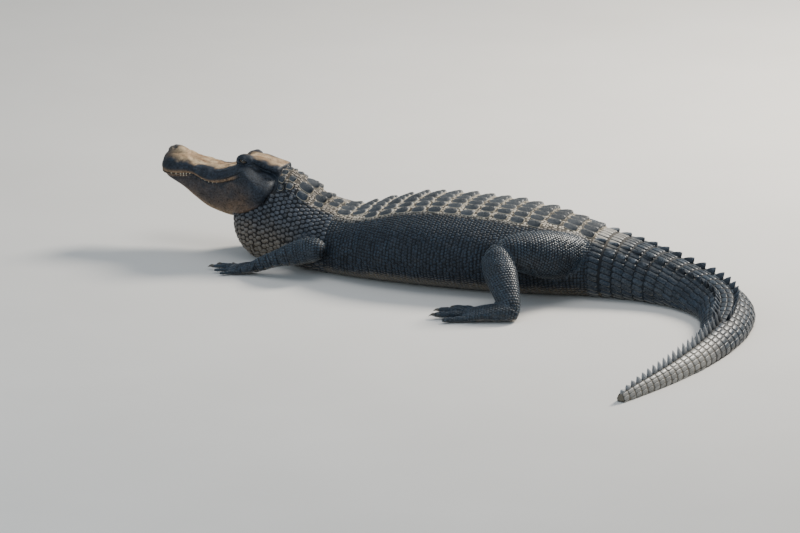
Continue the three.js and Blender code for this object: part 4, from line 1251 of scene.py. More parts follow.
        # Painted shade over the brows and eyes, taking the light off them
        brow = hump(local[:, 0], HeadForm.EYE[0], 42) * hump(local[:, 2], 92, 26)
        brow *= smooth_step(16, 26, np.abs(local[:, 1]))
        nose = hump(share, 0.97, 0.085)
        rims = blob(local, (Relief.NOSTRIL[0], 0, Relief.NOSTRIL[2]), (16, 28, 14), 1.2)
        light = np.maximum(snout * smooth_step(0.2, 0.5, up), table)
        return light * (1 - 0.95 * brow) * (1 - 0.85 * nose) * (1 - 0.9 * rims)


class BeadPattern:
    """The mesh of one small domed scale: rings round a crown, closed below."""

    RISE = (-0.9, 0.25, 0.85)
    PATCH = 0.003

    def __init__(self, corners: int = 10, squareness: float = 2.6, flatness: float = 0.72) -> None:
        """Sets the rings of the dome.

        Args:
            corners: points in each ring.
            squareness: 2 for an oval, more for a scale with square corners.
            flatness: the share of the scale's reach where its top starts to fall.
        """
        turn = 2 * np.pi * np.arange(corners) / corners
        outline = signed_power(np.stack([np.cos(turn), np.sin(turn)], -1), 2 / squareness)
        reach = np.array([1.0, 0.97, flatness])
        flat = (outline[None] * reach[:, None, None]).reshape(-1, 2)
        self.flat = np.vstack([flat, [[0.05, 0.0], [0.0, 0.0]]])
        self.height = np.concatenate([np.repeat(self.RISE, corners), [1.0, -1.0]])
        self.faces = dome_faces(len(reach), corners)

    def place(self, here: Array, rear: Array, side: Array, out: Array, size: Array) -> Array:
        """Puts a scale at each place.

        Args:
            here: middles of the scales on the skin.
            rear: directions of their lengths.
            side: directions of their widths.
            out: outward directions.
            size: rows of half length, half width and height.

        Returns:
            An array of scale by vertex by coordinate.
        """
        u = self.flat[None, :, :1] * size[:, None, :1]
        v = self.flat[None, :, 1:] * size[:, None, 1:2]
        h = self.height[None, :, None] * size[:, None, 2:]
        return here[:, None] + rear[:, None] * u + side[:, None] * v + out[:, None] * h

    def marks(self, chance: Array) -> Array:
        """The crown, chance and wear of each vertex of each scale."""
        crown = np.clip(self.height, 0, 1) + 0 * chance[:, None]
        return np.stack([crown, chance[:, None] + 0 * crown, np.ones_like(crown)], -1)

    def spots(self, roots: Array) -> Array:
        """Places each scale's patch of the unwrap at its root's place on it."""
        return roots[:, None] + self.flat[None] * self.PATCH / 2


@dataclass
class Coat:
    """A joined mesh of many small closed scales, with its unwrap for baking."""

    name: str
    anatomy: Anatomy
    vertices: list[Array] = field(default_factory=list)
    faces: list[Array] = field(default_factory=list)
    marks: list[Array] = field(default_factory=list)
    spots: list[Array] = field(default_factory=list)
    middles: list[Array] = field(default_factory=list)
    roots: list[Array] = field(default_factory=list)
    count: int = 0

    FLOOR_GAP = 0.2

    def add(self, places: Array, faces: Array, marks: Array, spots: Array) -> None:
        """Adds scales of one pattern.

        Args:
            places: an array of scale by vertex by coordinate, in the animal's frame.
            faces: the triangles of one scale.
            marks: an array of scale by vertex by crown, chance and wear, which on plates and fins also places
                a painted highlight.
            spots: an array of scale by vertex by two places on the unwrap.
        """
        scales, each = places.shape[:2]
        if scales == 0:
            return
        offset = self.count + each * np.arange(scales)[:, None, None]
        self.faces.append((faces[None] + offset).reshape(-1, 3))
        self.vertices.append(places.reshape(-1, 3))
        self.marks.append(marks.reshape(-1, 3))
        self.spots.append(spots.reshape(-1, 2))
        self.middles.append(places.mean(1))
        self.roots.append(spots.mean(1))
        self.count += scales * each

    def strew(
        self, pattern: BeadPattern, seats: tuple[Array, Array, Array], rear: Array, size: Array,
        chance: Array, roots: Array,
    ) -> None:
        """Adds a domed scale on each seat, flat on the skin there.

        Args:
            pattern: the kind of scale.
            seats: places on the skin, outward directions there, and which of them are used.
            rear: rough directions of the scales' lengths.
            size: rows of half length, half width and height.
            chance: a number from 0 to 1 for each scale.
            roots: each scale's place on the unwrap.
        """
        here, out, used = seats
        rear = unit(rear - out * (rear * out).sum(1, keepdims=True))
        places = pattern.place(here, rear, np.cross(out, rear), out, size)[used]
        self.add(places, pattern.faces, pattern.marks(chance[used]), pattern.spots(roots[used]))

    def build(self) -> bpy.types.Object:
        """Makes the object with its colours and its unwrap."""
        places, faces = np.vstack(self.vertices), np.vstack(self.faces)
        places[:, 2] = np.maximum(places[:, 2], self.FLOOR_GAP)
        piece = make_object(self.name, self.anatomy.inside(self.anatomy.to_frame(places)), faces)
        mesh = piece.data
        tint = Markings(self.anatomy).tint(places, vertex_array(mesh, "normal"))
        set_attribute(mesh, "Tint", tint)
        set_attribute(mesh, "GrainShadeAndHighlight", np.vstack(self.marks))
        layer = mesh.uv_layers.new(name="OFBake")
        layer.data.foreach_set("uv", packed(np.vstack(self.spots)[corner_array(mesh)]))
        LOG.info("%s: %d triangles", self.name, len(faces))
        return piece


def settle(hide: Hide, places: Array, limit: float) -> tuple[Array, Array, Array]:
    """Brings places to the nearest point of the skin.

    Args:
        hide: the skin.
        places: places in the animal's frame.
        limit: how far a place may move, in millimetres.

    Returns:
        The new places, the outward directions there, and which of them are near enough.
    """
    anatomy = hide.anatomy
    found, outward, near = np.zeros_like(places), np.zeros_like(places), np.zeros(len(places), bool)
    for i, point in enumerate(anatomy.to_frame(places)):
        spot, normal, _, _ = hide.tree.find_nearest(Vector(point), limit * MM)
        if spot is not None:
            found[i], outward[i], near[i] = spot, normal, True
    return anatomy.from_frame(found), outward, near


def raised(hide: Hide, places: Array, directions: Array, limit: float) -> tuple[Array, Array, Array]:
    """Moves places along their directions until they lie on the skin.

    Args:
        hide: the skin.
        places: places in the animal's frame.
        directions: outward directions.
        limit: how far a place may move, in millimetres.

    Returns:
        The new places, the outward directions there, and which of them met the skin.
    """
    anatomy, inner, least_turn = hide.anatomy, 8.0, 0.2
    starts = anatomy.to_frame(places - directions * inner)
    found, outward, near = places.copy(), directions.copy(), np.zeros(len(places), bool)
    for i, start in enumerate(starts):
        way = Vector(directions[i])
        spot, normal, _, _ = hide.tree.ray_cast(Vector(start), way, (limit + inner) * MM)
        if spot is not None and normal.dot(way) > least_turn:
            found[i], outward[i], near[i] = anatomy.from_frame(np.array(spot)), normal, True
    return found, outward, near


UNWRAP_SPAN = 2700.0


def body_spots(along: Array, lateral: Array) -> Array:
    """Places on the unwrap of the long body, from distances along and round it."""
    return np.stack([(along - Spine.FRONT + 60) / UNWRAP_SPAN, 0.5 + lateral / UNWRAP_SPAN], -1)


@dataclass
class BackPlates:
    """The keeled bony plates in rows across the back and on the neck."""

    anatomy: Anatomy
    hide: Hide
    rows: tuple[tuple[float, int], ...] = (
        (-299, 2), (-253, 2), (-207, 3), (-161, 3), (-114, 3), (-65.5, 3), (-17, 3), (31, 3),
        (79.5, 3), (128, 3), (176, 3), (224, 3), (272, 3), (320, 2), (368, 2), (416, 2),
    )
    neck: tuple[tuple[float, ...], ...] = (
        (-497, 12, 17, 18, 8), (-494, 34, 17, 18, 8), (-488, 56, 16, 17, 7), (-470, 22, 19, 20, 9),
        (-466, 46, 18, 19, 8), (-428, 21, 40, 34, 18), (-424, 54, 32, 26, 13),
        (-381, 20, 34, 32, 17), (-377, 50, 28, 24, 11), (-342, 17, 30, 27, 12),
    )
    pitch: float = 36.0
    size: tuple[float, float, float] = (44.0, 34.0, 10.5)
    rim: float = 1.2
    sink: float = 5.0
    corners: int = 36
    rings: tuple[float, ...] = (1.03, 1.0, 0.94, 0.85, 0.74, 0.6, 0.45, 0.3, 0.15)

    def spots(self) -> Array:
        """Rows of along, lateral, length, width and height of every plate."""
        found = []
        for row, (along, count) in enumerate(self.rows):
            pitch = self.pitch * (0.84 + 0.16 * (float(self.anatomy.body.half(along)) - 130) / 94)
            for i in range(count):
                for side in SIDES:
                    vary = float(hashed(np.array([[row, i, int(side)]]), 5)[0]) - 0.5
                    found.append((
                        along + 2 * vary, -side * pitch * (i + 0.5), self.size[0] * (1 - 0.05 * i),
                        self.size[1] * (0.97 + 0.06 * vary), self.size[2] * (1 + 0.24 * vary),
                    ))
        for along, lateral, length, width, height in self.neck:
            found += [(along, -side * lateral, length, width, height) for side in SIDES]
        return np.array(found)

    def build(self, coat: Coat) -> None:
        """Adds every plate to the coat."""
        spots = self.spots()
        turn = 2 * np.pi * np.arange(self.corners) / self.corners
        outline = np.stack([signed_power(np.cos(turn), 0.62), signed_power(np.sin(turn), 0.7)], -1)
        flat = (outline[None] * np.array(self.rings)[:, None, None]).reshape(-1, 2)
        flat = np.concatenate([flat, [[0, 0], [0, 0]]])
        reach = np.concatenate([np.repeat(self.rings, self.corners), [0.0, 0.0]])
        along = spots[:, None, 0] + flat[None, :, 0] * spots[:, None, 2] / 2
        lateral = spots[:, None, 1] + flat[None, :, 1] * spots[:, None, 3] / 2
        height = self._height(flat, reach, spots)
        here, _, _, out = self.anatomy.body.frames(along, lateral)
        here = raised(self.hide, here.reshape(-1, 3), out.reshape(-1, 3), BodyScales.reach)[0]
        rough = soft_noise(here, 4.0, 61) + 0.6 * soft_noise(here, 2.0, 62)
        pitted = 0.45 * rough.reshape(height.shape) * (reach < 0.98)
        places = here.reshape(out.shape) + out * (height + pitted)[..., None]
        # A low crown at the rim, where the plates' finish paints a sunlit rim
        crown = np.clip((1.04 - reach) / 0.2, 0, 1)[None] * np.ones((len(spots), 1))
        # The keels' share of height, where the finish paints rubbed, sunlit keels
        ridge = np.clip((height - self.rim) / (spots[:, None, 4] - self.rim), 0, 1)
        chance = hashed(np.round(spots[:, :2]).astype(int), 8)[:, None] * np.ones_like(crown)
        marks = np.stack([crown, chance, ridge], -1)
        coat.add(places, dome_faces(len(self.rings), self.corners), marks, body_spots(along, lateral))

    def _height(self, flat: Array, reach: Array, spots: Array) -> Array:
        """How high each point of each plate stands above the skin."""
        ridge = profile((-1, 0.16), (-0.62, 0.45), (0, 0.78), (0.6, 1.0), (0.84, 0.92), (1, 0.3))(flat[:, 0])
        half = np.maximum(1 - np.abs(flat[:, 0]) ** 3.2, 0.02) ** (1 / 2.9)
        across = np.clip(np.abs(flat[:, 1]) / half, 0, 1)
        roof = ridge * (0.25 * (1 - across ** 2.2) + 0.75 * (1 - across) ** 1.15)
        height = self.rim + (spots[:, 4:5] - self.rim) * roof[None]
        height[:, reach > 1.01] = -self.sink
        height[:, -1] = -self.sink
        return height


@dataclass
class TailCrest:
    """The upright fins on the tail, in two rows that become one."""

    anatomy: Anatomy
    doubled: int = 19
    stations: int = 14
    half_points: int = 5
    sink: float = 6.0
    twin: Callable[[Array], Array] = profile((0, 11), (8, 19), (14, 27), (19, 33))
    single: Callable[[Array], Array] = profile((19, 36), (25, 35), (31, 29), (37, 18), (40, 8), (41, 3))

    def whorls(self) -> Array:
        """Rows of start and end of every ring of scales along the tail."""
        length = self.anatomy.body.spine.tip - BodyForm.VENT
        found = []
        for segment, count in enumerate(BodyForm.WHORLS):
            ends = (BodyForm.VENT + length * share for share in BodyForm.TAIL_SHARES[segment:segment + 2])
            edges = np.linspace(*ends, count + 1)
            found += list(zip(edges[:-1], edges[1:]))
        return np.array(found)

    def spots(self) -> Array:
        """Rows of along, lateral, length, width and height of every fin."""
        found = []
        for i, (low, high) in enumerate(self.whorls()):
            along, length = (low + high) / 2, 0.84 * (high - low)
            half = float(self.anatomy.body.half(along))
            if i >= self.doubled:
                found.append((along, 0.0, length, min(10.5, half), float(self.single(i))))
                continue
            lateral = half * (0.44 - 0.16 * i / self.doubled)
            found += [(along, -side * lateral, length, 11.5, float(self.twin(i))) for side in SIDES]
            if 1 <= i <= 4:
                found += [(along, -side * lateral * 1.7, length, 20.0, 8.0) for side in SIDES]
        return np.array(found)

    def build(self, coat: Coat) -> None:
        """Adds every fin to the coat: stations along it, each a ring over its two sides, and two tips."""
        spots = self.spots()
        s = np.linspace(-1, 1, self.stations)
        top = profile((-1, 0.04), (-0.6, 0.36), (0.1, 0.76), (0.78, 1.0), (0.95, 0.9), (1, 0.5))(s)
        thick = profile((-1, 0.4), (-0.4, 0.95), (0.3, 1.0), (0.85, 0.8), (1, 0.42))(s)
        k = np.arange(-self.half_points, self.half_points + 1)
        rise = 1 - np.abs(k) / self.half_points
        u = (s[:, None] + 0 * k).ravel()
        h_share = (top[:, None] * rise[None]).ravel()
        v_share = (thick[:, None] * (np.sign(k) * (1 - rise ** 1.3))[None]).ravel()
        base = np.tile(rise == 0, self.stations)
        height = np.where(base[None], -self.sink, h_share[None] * spots[:, 4:5])
        along = spots[:, 0:1] + u[None] * spots[:, 2:3] / 2 + 0.1 * np.maximum(height, 0)
        here, _, side, out = self.anatomy.body.frames(along, spots[:, 1:2] + 0 * along)
        rough = soft_noise(here.reshape(-1, 3) + height.reshape(-1, 1), 5.0, 71).reshape(height.shape)
        v = v_share[None] * spots[:, 3:4] / 2 * (1 + 0.12 * rough)
        places = here + side * v[..., None] + out * height[..., None]
        tips = np.stack([places[:, -len(k):].mean(1), places[:, :len(k)].mean(1)], 1)
        places = np.concatenate([places, tips], 1)
        ones = np.ones((len(spots), places.shape[1]))
        crown = np.concatenate([np.clip(h_share + 0.25, 0, 1), [0.5, 0.5]]) * ones
        chance = hashed(np.round(spots[:, :2]).astype(int), 9)[:, None] * ones
        # Higher up each fin, more rubbed colour: wear and painted highlight
        wear_and_highlight = np.concatenate([h_share, [0.3, 0.3]]) * ones
        root = body_spots(spots[:, 0], spots[:, 1])[:, None]
        leaf = np.stack([u * 0.006, (h_share + 0.3) * v_share * 0.005], -1)
        leaf = np.vstack([leaf, [[0.006, 0], [-0.006, 0]]])
        faces = dome_faces(self.stations, len(k))[:, ::-1]
        coat.add(places, faces, np.stack([crown, chance, wear_and_highlight], -1), root + leaf[None])


@dataclass(frozen=True)
class ScaleField:
    """A stretch of the body covered with rows of one kind of scale.

    It runs from first to last along the spine, and from inner, in millimetres round the
    skin, to outer, as a share of the way round to the belly line.
    """

    first: float
    last: float
    inner: Callable[[Array], Array]
    outer: Callable[[Array], Array]
    length: float
    width: float
    height: float
    squareness: float
    salt: int
    ragged: float = 0.12
    fill: float = 0.94
    flatness: float = 0.72
    narrow: float = 1.0


@dataclass
class BodyScales:
    """The small scales of neck, flanks and belly, and those between the back plates."""

    hide: Hide
    plates: Array
    margin: float = 12.0
    reach: float = 48.0

    FLOOR = 2.0
    BEHIND_JAW = 8.0

    def build(self, coat: Coat, fields: Iterable[ScaleField]) -> None:
        """Adds the scales of each stretch to the coat."""
        for stretch in fields:
            self._add(coat, *self._grid(stretch), stretch)

    def _grid(self, stretch: ScaleField) -> tuple[Array, Array]:
        """Places of the scales, in rows that are offset like bricks."""
        found = []
        body = self.hide.anatomy.body
        for row, along in enumerate(np.arange(stretch.first, stretch.last, stretch.length)):
            inner = float(stretch.inner(along))
            outer = float(stretch.outer(along)) * float(body.half_girth(along))
            count = max(0, int((outer - inner) / stretch.width))
            lateral = inner + (np.arange(count) + 0.5 + 0.5 * (row % 2)) * stretch.width
            found += [np.column_stack([np.full(count, along), side * lateral]) for side in SIDES]
        spots = np.vstack(found)
        near = np.round(spots).astype(int)
        for axis, step in enumerate((stretch.length, stretch.width)):
            spots[:, axis] += (hashed(near, stretch.salt + axis) - 0.5) * stretch.ragged * 2 * step
        return spots[:, 0], spots[:, 1]

    def _add(self, coat: Coat, along: Array, lateral: Array, stretch: ScaleField) -> None:
        """Adds scales that lie on the skin and aren't covered by a leg, the head or a plate."""
        here, rear, _, out = self.hide.anatomy.body.frames(along, lateral)
        if stretch.first < BodyForm.NECK_REAR:
            here, out, near = raised(self.hide, here, out, self.reach)
        else:
            here, out, near = settle(self.hide, here, self.margin)
        near &= here[:, 2] > self.FLOOR
        near &= Relief.behind_jaw(self.hide.anatomy.head.into(here)) > self.BEHIND_JAW
        for plate in self.plates:
            off = (along - plate[0]) / (plate[2] / 2 + 3), (lateral - plate[1]) / (plate[3] / 2 + 3)
            near &= off[0] ** 2 + off[1] ** 2 > 1
        key = np.round(np.column_stack([along, lateral])).astype(int)
        vary = 0.9 + 0.2 * hashed(key, stretch.salt + 2)
        size = np.column_stack([
            stretch.length * stretch.fill / 2 * vary,
            stretch.width * stretch.fill * stretch.narrow / 2 * (2 - vary) * 0.97,
            stretch.height * (0.5 + 0.6 * vary),
        ])
        pattern = BeadPattern(10, stretch.squareness, stretch.flatness)
        chance = hashed(key, stretch.salt + 3)
        coat.strew(pattern, (here, out, near), rear, size, chance, body_spots(along, lateral))


@dataclass
class TailScales:
    """The oblong scales in rings round the tail."""

    hide: Hide
    crest: TailCrest
    width: float = 17.0
    height: float = 1.5
    margin: float = 8.0

    def build(self, coat: Coat) -> None:
        """Adds the scales of every ring to the coat."""
        body = self.hide.anatomy.body
        pattern = BeadPattern(12, 4.0)
        for ring, (low, high) in enumerate(self.crest.whorls()):
            along = (low + high) / 2
            girth = float(body.half_girth(along))
            start = 0.4 if ring < self.crest.doubled else min(6.0, 0.15 * girth)
            reach = girth * 0.97 - start
            count = max(2, int(round(reach / (self.width * min(1.0, 0.45 + girth / 300)))))
            step = reach / count
            lateral = np.concatenate([side * (start + (np.arange(count) + 0.5) * step) for side in SIDES])
            spots = np.full(len(lateral), along)
            here, rear, _, _ = body.frames(spots, lateral)
            chance = hashed(np.column_stack([np.full(len(lateral), ring), np.round(lateral)]).astype(int), 15)
            size = np.column_stack([
                np.full(len(lateral), (high - low) * 0.475), np.full(len(lateral), step * 0.475),
                self.height * (0.4 + girth / 260) * (0.8 + 0.4 * chance),
            ])
            seats = settle(self.hide, here, self.margin)
            coat.strew(pattern, seats, rear, size, chance, body_spots(spots, lateral))


@dataclass
class LegScales:
    """The small scales of the legs and feet."""

    hide: Hide
    length: float = 8.2
    height: float = 0.8
    margin: float = 9.0
    floor: float = 3.0

    def build(self, coat: Coat, limbs: slice, feet: slice) -> None:
        """Adds the scales of some legs to the coat."""
        for number, limb in list(enumerate(LIMBS))[limbs]:
            stations = refined(limb.stations, 60)
            self._wrap(coat, tube(stations, limb.flat, 48), stations, number, lambda places: places)
        for number, foot in list(enumerate(FEET))[feet]:
            stations = refined(foot.palm, 40)
            rings = tube(stations, FLOOR_FLAT, 48)
            self._wrap(coat, rings, stations, len(LIMBS) + number, foot.place)
            for order, toe in enumerate(foot.toes):
                stations = toe.stations(np.linspace(-0.05, 0.97, 40))
                rings = tube(stations, FLOOR_FLAT, 32)
                key = len(LIMBS) + len(FEET) + number * 5 + order
                self._wrap(coat, rings, stations, key, foot.place, 0.85)

    def _wrap(
        self, coat: Coat, rings: Array, stations: Array, number: int,
        place: Callable[[Array], Array], share: float = 1.0,
    ) -> None:
        """Adds the scales round one form of a leg.

        Args:
            coat: the coat that the scales go to.
            rings: the rings of the form, in its own frame.
            stations: its middle line.
            number: the form's own number, for chance and for the unwrap.
            place: turns places in the form's frame into the animal's frame.
            share: how large the scales are beside those of the leg.
        """
        length = self.length * share
        rows = self._rows(rings, stations, length)
        here = place(rows[:, :3])
        rear = place(rows[:, :3] + rows[:, 3:6]) - here
        here, out, near = settle(self.hide, here, self.margin)
        near &= here[:, 2] > self.floor
        key = np.column_stack([np.full(len(rows), number), np.round(rows[:, 6:8])]).astype(int)
        vary = 0.88 + 0.24 * hashed(key, 22)
        size = np.column_stack([
            length * 0.5 * vary, length * 0.46 * vary, self.height * (0.6 + 0.8 * hashed(key, 23)),
        ])
        roots = rows[:, 6:8] / UNWRAP_SPAN + 0.02 + np.array([0.12 * (number % 8), 0.18 * (number // 8)])
        coat.strew(BeadPattern(8, 2.3), (here, out, near), rear, size, hashed(key, 24), roots)

    def _rows(self, rings: Array, stations: Array, length: float) -> Array:
        """Rows of place, direction along, distance along and distance round, offset like bricks."""
        stride = np.linalg.norm(np.diff(stations[:, :3], axis=0), axis=1)
        walked = np.concatenate([[0.0], np.cumsum(stride)])
        found = []
        for row, along in enumerate(np.arange(4.0, walked[-1] - 2, length * 0.92)):
            at = np.interp(along, walked, np.arange(len(walked)))
            low = int(min(at, len(walked) - 2))
            ring = rings[low] * (1 - (at - low)) + rings[low + 1] * (at - low)
            ahead = rings[low + 1] - rings[low]
            closed = np.vstack([ring, ring[:1]])
            turned = np.concatenate([[0.0], np.cumsum(np.linalg.norm(np.diff(closed, axis=0), axis=1))])
            count = max(6, int(turned[-1] / length))
            spot = (np.arange(count) + 0.5 * (row % 2)) / count * turned[-1]
            here = np.stack([np.interp(spot, turned, closed[:, axis]) for axis in range(3)], 1)
            way = np.stack([np.interp(spot, turned[:-1], ahead[:, axis]) for axis in range(3)], 1)
            found.append(np.column_stack([here, way, np.full(count, along), spot]))
        return np.vstack(found)


class GapScales:
    """Scales on the places that the rows leave bare: throat, nape, elbows, wrists and groins."""

    def __init__(self, hide: Hide, plates: Coat, others: Iterable[Coat]) -> None:
        """Finds where the skin is already covered.

        Args:
            hide: the skin.
            plates: the bony plates.
            others: the coats of small scales.
        """
        others = list(others)
        mesh = hide.piece.data
        self.places = hide.anatomy.from_frame(vertex_array(mesh))
        self.normals = vertex_array(mesh, "normal")
        self.behind = Relief.behind_jaw(hide.anatomy.head.into(self.places))
        self.middles = np.vstack([rows for coat in others for rows in coat.middles])
        self.roots = np.vstack([rows for coat in others for rows in coat.roots])
        self.taken = self._tree(self.middles)
        self.bony = self._tree(np.vstack(plates.vertices))

    @staticmethod
    def _tree(points: Array) -> KDTree:
        """Makes a tree that finds the nearest of some points."""
        tree = KDTree(len(points))
        for i, point in enumerate(points):
            tree.insert(point, i)
        tree.balance()
        return tree

    def _bare(self, chosen: Array, spacing: float) -> tuple[list[int], list[int]]:
        """Picks bare places that are at least one spacing apart, and the scale nearest to each."""
        key = np.round(self.places * 10).astype(int)
        numbers = np.flatnonzero(chosen & (self.places[:, 2] > 3.0) & (self.behind > 7.0))
        order = numbers[np.argsort(hashed(key[numbers], 81))]
        kept, nearest, homes = [], [], {}
        for i in order:
            point = self.places[i]
            _, number, gap = self.taken.find(point)
            if gap < spacing or self.bony.find(point)[2] < 0.6 * spacing:
                continue
            home = tuple(int(c) for c in np.floor(point / spacing))
            around = [
                other for step in NEIGHBOURS
                for other in homes.get(tuple(h + s for h, s in zip(home, step)), ())
            ]
            if around and ((self.places[around] - point) ** 2).sum(1).min() < spacing ** 2:
                continue
            homes.setdefault(home, []).append(i)
            kept.append(i)
            nearest.append(number)
        return kept, nearest

    def build(self, coat: Coat, chosen: Array, spacing: float, height: float) -> None:
        """Adds scales to the coat on the bare places among the chosen ones.

        Args:
            coat: the coat that the scales go to.
            chosen: which of the skin's vertices may carry one.
            spacing: the distance between the scales.
            height: how high they stand.
        """
        kept, nearest = self._bare(chosen, spacing)
        if not kept:
            return
        here, out = self.places[kept], self.normals[kept]
        rear = unit(np.array([1.0, 0.0, 0.0]) - out * out[:, :1] + 1e-6)
        vary = hashed(np.round(here * 10).astype(int), 82)
        size = np.column_stack([
            spacing * (0.54 + 0.12 * vary), spacing * (0.48 - 0.06 * vary), height * (0.7 + 0.6 * vary),
        ])
        away = here - self.middles[nearest]
        moved = np.stack([(away * rear).sum(1), (away * np.cross(out, rear)).sum(1)], -1)
        roots = self.roots[nearest] + moved / UNWRAP_SPAN
        seats = (here, out, np.ones(len(here), bool))
        coat.strew(BeadPattern(9, 2.3), seats, rear, size, vary, roots)
        LOG.info("%s: %d scales on bare places", coat.name, len(kept))


@dataclass
class Eyes:
    """The two eyeballs, each with an iris and an upright pupil, and the lids round them."""

    anatomy: Anatomy
    rings: int = 40
    corners: int = 56
    balls: list[bpy.types.Object] = field(default_factory=list)
    lids: bpy.types.Object | None = None

    WORDS = ("left", "right")
    SNUG = 0.985
    LID_STATIONS = 72
    LID_SIDES = 12

    def build(self) -> None:
        """Makes both eyeballs and the lids."""
        head = self.anatomy.head
        down = np.linspace(0.02, math.pi - 0.02, self.rings)[:, None]
        turn = circle(self.corners)[None]
        x, y, z = np.sin(down) * np.cos(turn), np.cos(down) + 0 * turn, np.sin(down) * np.sin(turn)
        radius = HeadForm.EYE_RADIUS * self.SNUG * (1 + 0.02 * smooth_step(0.75, 0.95, y))
        gaze = np.column_stack([x.ravel(), z.ravel(), y.ravel()]) * 0.5 + 0.5
        gaze = np.vstack([gaze, [[0.5, 0.5, 1.0], [0.5, 0.5, 0.0]]])
        for side, word in zip(SIDES, self.WORDS):
            blank = Blank()
            rings = np.stack([x, y * side, z], -1) * radius[..., None]
            blank.loft(head.out(rings + HeadForm.EYE * (1, side, 1)))
            places, faces = blank.arrays()
            ball = make_object(f"eyeball_{word}", self.anatomy.to_frame(places), faces)
            set_attribute(ball.data, "Gaze", gaze)
            self.balls.append(ball)
            LOG.info("eyeball %s: %d triangles", word, len(faces))
        self._build_lids()

    def _build_lids(self) -> None:
        """Makes the thick edge of the lids round each eye."""
        blank = Blank()
        turn, section = circle(self.LID_STATIONS), circle(self.LID_SIDES)
        for side in SIDES:
            edge = EyeShape(side).edge(turn)
            centre = np.array([HeadForm.EYE[0], side * (HeadForm.EYE[1] + 6), HeadForm.EYE[2] + 1])
            outward = unit(edge - centre)
            along = unit(np.roll(edge, -1, 0) - np.roll(edge, 1, 0))
            second = np.cross(along, outward)
            radius = 1.5 + 0.5 * np.clip(np.sin(turn), 0, 1)
            middle = edge + outward * (radius * 0.6)[:, None]
            rings = (
                middle[:, None]
                + outward[:, None] * (radius[:, None] * np.cos(section))[..., None]
                + second[:, None] * (radius[:, None] * np.sin(section))[..., None]
            )
            places = self.anatomy.head.out(rings.reshape(-1, 3))
            faces = self._lid_faces()
            blank.add(places, faces if side > 0 else faces[:, ::-1])
        places, faces = blank.arrays()
        self.lids = make_object("lids", self.anatomy.to_frame(places), faces)
        normals = vertex_array(self.lids.data, "normal")
        # The lids' markings are cut to a fifth, so they stay dark: painted shade round the eye
        set_attribute(self.lids.data, "Tint", Markings(self.anatomy).tint(places, normals) * 0.2)
        set_attribute(self.lids.data, "GrainShadeAndHighlight", np.tile([0.8, 0.3, 0.1], (len(places), 1)))

    def _lid_faces(self) -> Array:
        """The triangles of a tube that runs into itself."""
        stations, sides = self.LID_STATIONS, self.LID_SIDES
        r, k = np.meshgrid(np.arange(stations), np.arange(sides), indexing="ij")
        ahead, round_on = (r + 1) % stations * sides, (k + 1) % sides
        a, b, c, d = r * sides + k, r * sides + round_on, ahead + round_on, ahead + k
        return np.concatenate([np.stack([a, b, c], -1), np.stack([a, c, d], -1)]).reshape(-1, 3)

    def dress(self, eye: bpy.types.Material, skin: bpy.types.Material) -> None:
        """Gives balls and lids their finishes, and puts the balls in place of the eye nodes."""
        for ball, word in zip(self.balls, self.WORDS):
            finish_piece(ball, eye)
            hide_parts(f"eye_{word}")
        finish_piece(self.lids, skin)


@dataclass
class Teeth:
    """The upper teeth that show below the lip when the mouth is shut."""

    anatomy: Anatomy
    places: tuple[tuple[float, float], ...] = (
        (0.87, 5), (0.83, 6), (0.79, 8), (0.765, 9), (0.74, 8), (0.71, 6),
        (0.6, 2), (0.565, 3), (0.53, 3.6), (0.495, 3.2), (0.46, 2),
    )
    radius: float = 2.5
    corners: int = 16
    stations: int = 12
    piece: bpy.types.Object | None = None

    INSET = 4.2
    ROOT = 4.0

    def build(self) -> None:
        """Makes every tooth as a slightly curved cone."""
        head = self.anatomy.head
        blank = Blank()
        turn = circle(self.corners)
        offset = np.stack([np.cos(turn), 0.85 * np.sin(turn), 0 * turn], 1)
        for share, length in self.places:
            across = float(head.lip(share)) * HEAD_LENGTH - self.INSET
            height = float(head.mouth(share)) * HEAD_LENGTH + self.ROOT
            for side in SIDES:
                root = np.array([share * HEAD_LENGTH, side * across, height])
                rings = []
                for t in np.linspace(0, 1, self.stations):
                    radius = self.radius * (1 - t ** 2.2) ** 0.6 * (0.75 + 0.25 * min(1, t * 4)) + 0.05
                    middle = root + np.array([0, -side * 1.2 * t * t, -(length + self.ROOT) * t])
                    rings.append(middle + radius * offset)
                blank.loft(head.out(np.array(rings)))
        places, faces = blank.arrays()
        self.piece = make_object("teeth", self.anatomy.to_frame(places), faces)
        LOG.info("teeth: %d triangles", len(faces))

    def dress(self, material: bpy.types.Material) -> None:
        """Gives the teeth their finish."""
        finish_piece(self.piece, material)


